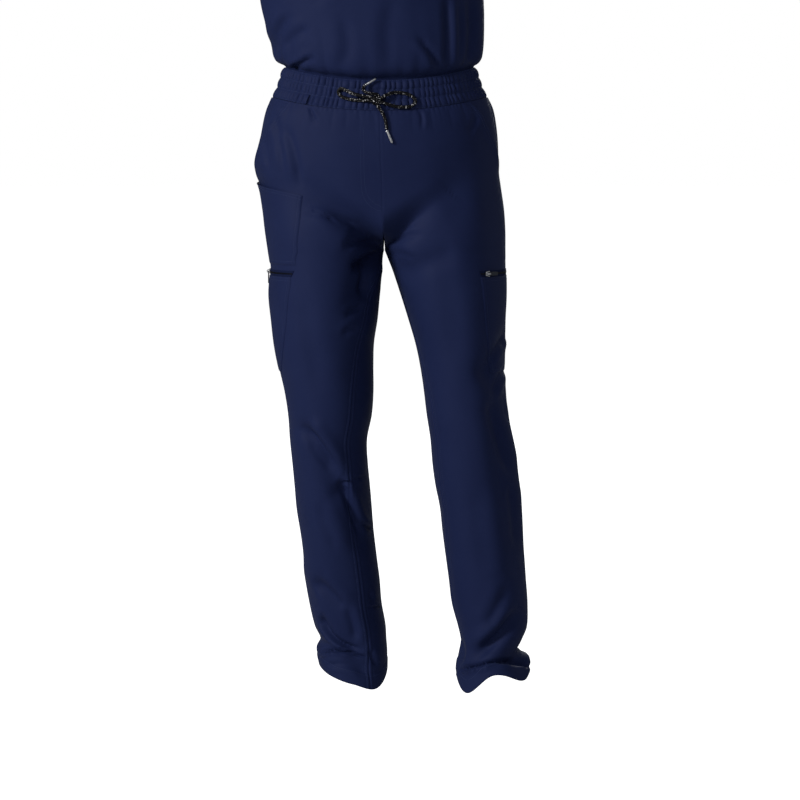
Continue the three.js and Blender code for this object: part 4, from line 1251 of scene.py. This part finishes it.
def sleeves():
    hem = SLEEVE_HEM
    for side, hem_x in SLEEVE_X.items():
        name = side_name(side)
        place = np.linspace(0, STATIONS, SLEEVE_COLUMNS, endpoint=False)
        in_front = place <= STATIONS / 2
        half = np.where(in_front, place, STATIONS - place)
        u = np.interp(half, np.arange(STATIONS // 2 + 1), ARMHOLE["u"])
        u = u if side < 0 else 1 - u
        edges = [yoke(face, u, np.ones_like(u)) for face in (-1, 1)]
        start = np.where(in_front[:, None], *edges)[None]
        angle = (2 * np.pi * place / STATIONS)[None, :]
        t = across(150, 34)[:, None]
        end = points_of(
            hem_x - side * hem["across"] * np.cos(angle),
            hem["y"] - hem["deep"] * np.sin(angle),
            SLEEVE_HEM_Z + 6 * (1 - np.cos(angle)),
        )
        outward_share = 1 - (1 - t) ** 2
        level = np.clip((start[..., 2] - ARM_Z) / (TIP_Z - ARM_Z), 0, 1)
        grid = points_of(
            lerp(start[..., 0], end[..., 0], outward_share) + side * SLEEVE_GAP * (1 - t),
            lerp(start[..., 1], end[..., 1], outward_share),
            lerp(start[..., 2], end[..., 2], lerp(t, t**2, level)),
        )
        axis_x = lerp(start[0, 0, 0] + side * 12, hem_x, t)
        inside = points_of(axis_x, hem["y"], lerp(CHEST_Z, SLEEVE_HEM_Z, t))
        normal = outward(grid, inside, ring=True)
        length = lengths(grid, 0)
        roll, groove = hem_relief(length[-1:] - length)
        drape = 2.2 * np.sin(3 * angle + 0.7) * np.sin(np.pi * t) + 1.2 * np.sin(5 * angle) * t
        free = smoothstep(length, 4, 30)
        push = seam_relief(length) + roll - groove + drape * free
        push = push + unevenness(grid) * 1.5 * free
        # The first row is the seam allowance, which goes in under the top's edge.
        grid[0, :, 0] -= side * 4
        push[0] = -2.6
        outer = cloth_wall(
            f"cloth_sleeve_{name}", f"sleeve_{name}", grid, normal, push, "hung", ring=True)
        sew("top", inset(outer, normal, TOPSTITCH, axis=0))
        sew("top", inset(outer, normal, HEM_STITCH, axis=0, flip=True))


NECKBAND_STITCH = 2.5


def neckband():
    """Goes on from the neck's edge as a mitred strip."""
    stops = NECK[-1]["u"]
    arcs = [(-1, stops), (-1, 1 - stops[::-1]), (1, 1 - stops), (1, stops[::-1])]
    places = [(face, u) for face, us in arcs for u in us[:-1]]

    def near(face, u):
        """The edge's point and outward normal at one place."""
        climb = np.array([0.98, 1.0])[:, None]
        round_u = np.array([u - 1e-3, u, u + 1e-3])[None, :]
        grid = yoke(face, *np.broadcast_arrays(round_u, climb))
        made = outward(grid, np.array([TOP_CENTRE, 0, CHEST_Z]))
        return grid[1, 1], made[1, 1]

    edge = [near(face, u) for face, u in places]
    point = np.array([e[0] for e in edge])
    normal = np.array([e[1] for e in edge])
    centre = point.mean(axis=0)
    ways = []
    for step in (1, -1):
        along = (np.roll(point, -step, axis=0) - point) * step
        way = np.cross(along, normal)
        way /= np.linalg.norm(way, axis=-1, keepdims=True)
        ways.append(way * np.sign(np.sum(way * (centre - point), axis=-1, keepdims=True)))
    onward = (ways[0] + ways[1]) / (1 + np.sum(ways[0] * ways[1], axis=-1, keepdims=True))
    fine = np.linspace(0, len(point), 12 * len(point), endpoint=False)

    def closed(values):
        return between(fine, np.arange(len(point) + 1), np.concatenate([values, values[:1]]))

    width = np.linspace(0, 1, 9)
    start, ahead, out = closed(point), closed(onward), closed(normal)
    reach = (SEAM + NECKBAND * width)[:, None, None]
    grid = start[None] + ahead[None] * reach
    groove = 0.3 * bump(width * NECKBAND, NECKBAND_STITCH, 0.8)
    relief = 0.5 * np.sin(np.pi * width) ** 0.5 - groove
    push = np.broadcast_to(relief[:, None], grid.shape[:2])
    normal = np.broadcast_to(out[None], grid.shape)
    outer = cloth_wall("cloth_neckband", "neckband", grid, normal, push, "hung", ring=True)
    sew("top", inset(outer, normal, NECKBAND_STITCH, axis=0))


# Waistband's small cloth loop
WAIST_LOOP = {"turn": -130.4, "width": 2.3, "top": -31, "bottom": -45}


def waist_loop():
    w = WAIST_LOOP
    half = w["width"] / 2
    degrees = np.linspace(w["turn"] - half, w["turn"] + half, 7)[None, :]
    t = np.linspace(0, 1, 15)[:, None]
    angle, height = np.broadcast_arrays(np.radians(degrees), lerp(w["top"], w["bottom"], t))
    stand = 1.4 + 2.2 * np.sin(np.pi * t) ** 0.7 + 0 * angle
    outer = band(angle, height, stand + CLOTH)
    made = shell("cloth_waist_loop", outer, band(angle, height, stand), NAVY)
    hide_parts("waist_loop")


# Drawstring: points of the front view with their stand-off from the waistband or the front.
# Each end comes out of a hole behind the knot, makes its bow and hangs down as a tail.
CORD_SIDES = 28
CORD_STEP = 0.5
ROUTES = {
    "cord_left": table("x z stand", [
        [-7.6, -40.4, 0.6],
        [-10, -41.2, 3.4],
        [-14.6, -41.5, 5],
        [-27, -41, 3],
        [-40, -40, 2.4],
        [-52, -37.5, 2.4],
        [-60, -33, 3],
        [-62, -27.5, 4],
        [-58, -23.5, 5],
        [-51, -25.5, 6.5],
        [-42, -30, 8],
        [-30, -33.6, 8.8],
        [-20, -35.4, 9],
        [-13.4, -36.6, 8.4],
        [-7.6, -38.2, 7.6],
        [-2.6, -37.6, 7.8],
        [-0.8, -34.6, 9],
        [-4, -32.2, 10.6],
        [-8.8, -32, 12],
        [-14, -31, 13.6],
        [-19.4, -29.4, 14.4],
        [-23, -26.4, 12.6],
        [-23.8, -22.6, 9.6],
        [-22.4, -19.4, 7],
    ]),
    "cord_right": table("x z stand", [
        [-0.4, -40.4, 0.6],
        [1.6, -38.8, 4.4],
        [5, -36.8, 8],
        [14.5, -31.5, 5.6],
        [24, -29.4, 3.4],
        [34, -29.6, 2.6],
        [45, -32.4, 2.4],
        [53, -38, 2.4],
        [54.6, -44, 2.4],
        [49, -49.5, 2.4],
        [38, -51.2, 2.4],
        [26, -50.4, 2.8],
        [15, -47.6, 3.6],
        [5.6, -44.4, 5],
        [0.4, -43.4, 6],
        [-3, -45.4, 6],
        [-2.2, -49.2, 5.4],
        [2.4, -56, 3.6],
        [7, -64.5, 2.4],
        [9.6, -72, 2],
        [10.8, -80, 2],
        [11.4, -85, 2],
    ]),
}
AGLETS = {
    "aglet_up": table("x z stand", [[-21.2, -18.2, 6.2], [-4.6, -8.2, 3.8]]),
    "aglet_down": table("x z stand", [[11.7, -86.4, 2], [19.8, -105.6, 2]]),
}
AGLET_FORM = table("along radius", [
    [0, 1.7], [0.01, 2.1], [0.05, 2.25], [0.1, 2.1], [0.13, 1.85], [0.16, 1.95], [0.5, 1.95],
    [0.86, 1.9], [0.95, 1.75], [0.99, 1.3], [1, 0.7],
])
KNOT = {"x": -4.4, "z": -41, "stand": 6.2, "radius": CORD_RADIUS - 0.2}
RING_SIDES = 24
KNOT_TURNS = table("x z half_x half_y half_z tilt", [
    [-2.8, 0.2, 0, 3.3, 5, 0.16],
    [1.4, -0.4, 0, 3.5, 5.2, -0.1],
    [-0.4, 1.8, 6.8, 2.8, 0, 0.12],
])


def front_y(x, z):
    section = read(PELVIS, z) if z <= -BAND_HEIGHT else read(BAND, z)
    share = abs(x / section["right"]) ** SQUARENESS
    return float(section["front"] * (1 - share) ** (1 / SQUARENESS))


def route_points(route):
    return np.array([(x, front_y(x, z) - stand, z) for x, z, stand in zip(*route.values())])


def even_curve(points, step):
    """A smooth curve through points, with places one step apart."""
    key = np.arange(len(points), dtype=float)
    rows = dict(zip("kxyz", [key, *points.T]))
    fine = read(rows, np.linspace(0, len(points) - 1, 60 * len(points)))
    fine = np.stack([fine[k] for k in "xyz"], axis=-1)
    along = run(fine)
    at = np.linspace(0, along[-1], round(along[-1] / step) + 1)
    return between(at, along, fine)


def swept(path, radius, sides, relief=None):
    """Points and faces of a tube of round section along a path, with flat ends."""
    way = np.gradient(path, axis=0)
    way /= np.linalg.norm(way, axis=-1, keepdims=True)
    across_way = np.cross(way[0], [0.3, 0.2, 1])
    across_way /= np.linalg.norm(across_way)
    turn = 2 * np.pi * np.arange(sides) / sides
    along = run(path)
    rings = []
    for i, (spot, ahead) in enumerate(zip(path, way)):
        across_way = across_way - ahead * np.dot(across_way, ahead)
        across_way /= np.linalg.norm(across_way)
        up = np.cross(ahead, across_way)
        size = radius[i] * (1 + (relief(along[i], turn) if relief else 0 * turn))
        spoke = np.cos(turn)[:, None] * across_way + np.sin(turn)[:, None] * up
        rings.append(spot + size[:, None] * spoke)
    count = len(path)
    last = (count - 1) * sides
    faces = [
        [i + k, i + (k + 1) % sides, i + sides + (k + 1) % sides, i + sides + k]
        for i in range(0, last, sides) for k in range(sides)
    ]
    faces += [list(range(sides))[::-1], list(range(last, last + sides))]
    return np.concatenate(rings), faces


BRAID_STRANDS = 5
BRAID_LAY = 0.62  # how far the strands turn in each millimetre, in radians
BRAID_RELIEF = 0.07  # share of the cord's radius


def braid(along, turn):
    """Strands that cross in two directions round the cord."""
    laid = BRAID_LAY * BRAID_STRANDS * along
    one = np.cos(BRAID_STRANDS * turn + laid)
    other = np.cos(BRAID_STRANDS * turn - laid)
    return BRAID_RELIEF * one * other


def tubes(name, parts, material):
    """One piece from several tubes."""
    points, faces, start = [], [], 0
    for part_points, part_faces in parts:
        points.append(part_points)
        faces += [[start + k for k in face] for face in part_faces]
        start += len(part_points)
    return make_mesh(name, np.concatenate(points), faces, None, material)


def aglet(node):
    first, last = route_points(AGLETS[node])
    path = lerp(first, last, AGLET_FORM["along"][:, None])
    tube = swept(path, AGLET_FORM["radius"], RING_SIDES)
    made = tubes(f"metal_{node}", [tube], METAL)
    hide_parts(node)
    return made


def knot():
    centre = np.array([KNOT["x"], front_y(KNOT["x"], KNOT["z"]) - KNOT["stand"], KNOT["z"]])
    turn = np.linspace(0, 2 * np.pi, 61)
    parts = []
    for x, z, half_x, half_y, half_z, tilt in zip(*KNOT_TURNS.values()):
        up = half_z * np.sin(turn)
        sideways = half_x * np.sin(turn)
        forward = half_y * np.cos(turn)
        path = points_of(x + sideways + tilt * up, forward, z + up + tilt * sideways)
        radius = np.full(len(path), KNOT["radius"])
        parts.append(swept(centre + path, radius, RING_SIDES, braid))
    made = tubes("cord_knot_turns", parts, BRAID)
    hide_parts("cord_knot")
    return made


def drawstring():
    carried = {
        "cord_left": [aglet("aglet_up"), knot()],
        "cord_right": [aglet("aglet_down")],
    }
    solids = {
        "cord_left": ("cord_loop_left", "cord_tail_up"),
        "cord_right": ("cord_loop_right", "cord_tail_down"),
    }
    for name, route in ROUTES.items():
        path = even_curve(route_points(route), CORD_STEP)
        radius = np.full(len(path), CORD_RADIUS)
        made = tubes(name, [swept(path, radius, CORD_SIDES, braid)], BRAID)
        for node in solids[name]:
            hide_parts(node)


# Sliders and pull tabs
BEVEL = {"width": 0.25, "segments": 2, "angle": 35}


def rounded(node, body, material):
    """A CAD node's own shape with its edges rounded."""
    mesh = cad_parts[node].data.copy()
    mesh.materials.clear()
    mesh.materials.append(material)
    edit = bmesh.new()
    edit.from_mesh(mesh)
    bmesh.ops.remove_doubles(edit, verts=edit.verts, dist=1e-5)
    edit.to_mesh(mesh)
    edit.free()
    made = new_object(f"{node}_rounded", mesh)
    bevel = made.modifiers.new("edges", "BEVEL")
    bevel.width = BEVEL["width"] * MM
    bevel.segments = BEVEL["segments"]
    bevel.angle_limit = math.radians(BEVEL["angle"])
    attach(made, body)
    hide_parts(node)


def zip_metal():
    for name in ("left", "right"):
        rounded(f"slider_{name}", "garment", METAL)
        rounded(f"pull_{name}", f"pull_{name}", DARK_METAL)


# Camera, light and floor; places and sizes are in metres
SENSOR = 36
AMBIENT = 0.13
FLOOR_HALF = 80
FLOOR_GLOW = 0.96
# Each area light: name, place, what it points at, size, watts and colour
LIGHTS = [
    ("key", (-3.4, -2.6, 1.5), (0, 0, -0.4), 1.1, 150, (1, 0.98, 0.95)),
    ("front", (-0.6, -5.0, 1.6), (0, 0, -0.4), 2.2, 40, (0.95, 0.97, 1)),
    ("back", (0.9, 4.6, 1.8), (0, 0, -0.3), 2.6, 105, (0.95, 0.97, 1)),
    ("side", (4.6, 0.9, 1.0), (0, 0, -0.3), 2.6, 18, (0.95, 0.97, 1)),
]


def set_camera():
    data = bpy.data.cameras.new("camera")
    data.sensor_width = SENSOR
    data.lens = CAMERA_LENS
    camera = new_object("camera", data)
    camera.location = [c * MM for c in CAMERA]
    camera.rotation_euler = (math.radians(CAMERA_TILT), 0, 0)
    bpy.context.scene.camera = camera


def area_light(name, place, target, size, watts, colour):
    data = bpy.data.lights.new(name, "AREA")
    data.size = size
    data.energy = watts
    data.color = colour
    light = new_object(name, data)
    light.location = place
    way = np.array(target) - np.array(place)
    light.rotation_euler = (
        math.acos(-way[2] / np.linalg.norm(way)),
        0,
        math.atan2(way[1], way[0]) - math.pi / 2,
    )


def studio():
    """Soft bluish light from all round, a white background and the area lights."""
    world = bpy.data.worlds.new("studio")
    world.use_nodes = True
    tree = world.node_tree
    light = tree.nodes["Background"]
    set_inputs(light, Color=(0.9, 0.95, 1, 1), Strength=AMBIENT)
    seen = tree.nodes.new("ShaderNodeBackground")
    set_inputs(seen, Color=(1, 1, 1, 1))
    ray = tree.nodes.new("ShaderNodeLightPath")
    mix = tree.nodes.new("ShaderNodeMixShader")
    tree.links.new(ray.outputs["Is Camera Ray"], mix.inputs["Fac"])
    tree.links.new(light.outputs["Background"], mix.inputs[1])
    tree.links.new(seen.outputs["Background"], mix.inputs[2])
    tree.links.new(mix.outputs["Shader"], tree.nodes["World Output"].inputs["Surface"])
    bpy.context.scene.world = world
    bpy.context.scene.view_settings.view_transform = "Standard"
    for row in LIGHTS:
        area_light(*row)


def floor():
    """A white floor that takes only a faint shadow."""
    mesh = bpy.data.meshes.new("floor")
    half, z = FLOOR_HALF, FLOOR_Z * MM
    corners = [(-half, -half, z), (half, -half, z), (half, half, z), (-half, half, z)]
    mesh.from_pydata(corners, [], [(0, 1, 2, 3)])
    made = new_object("floor", mesh)
    material, shader, add, link = nodes_of("floor")
    set_inputs(shader, Base_Color=(0.5, 0.5, 0.5, 1), Emission_Color=(1, 1, 1, 1))
    set_inputs(shader, Roughness=0.9, Specular_IOR_Level=0.1)
    ray = add("ShaderNodeLightPath")
    glow = add("ShaderNodeMath", operation="MULTIPLY")
    glow.inputs[1].default_value = FLOOR_GLOW
    link(ray.outputs["Is Camera Ray"], glow.inputs[0])
    link(glow.outputs["Value"], shader.inputs["Emission Strength"])
    mesh.materials.append(material)


trouser_panels()
waistband()
hip_pocket()
cargo_pockets()
top_panels()
sleeves()
neckband()
waist_loop()
thread()
drawstring()
zip_metal()
set_camera()
studio()
floor()
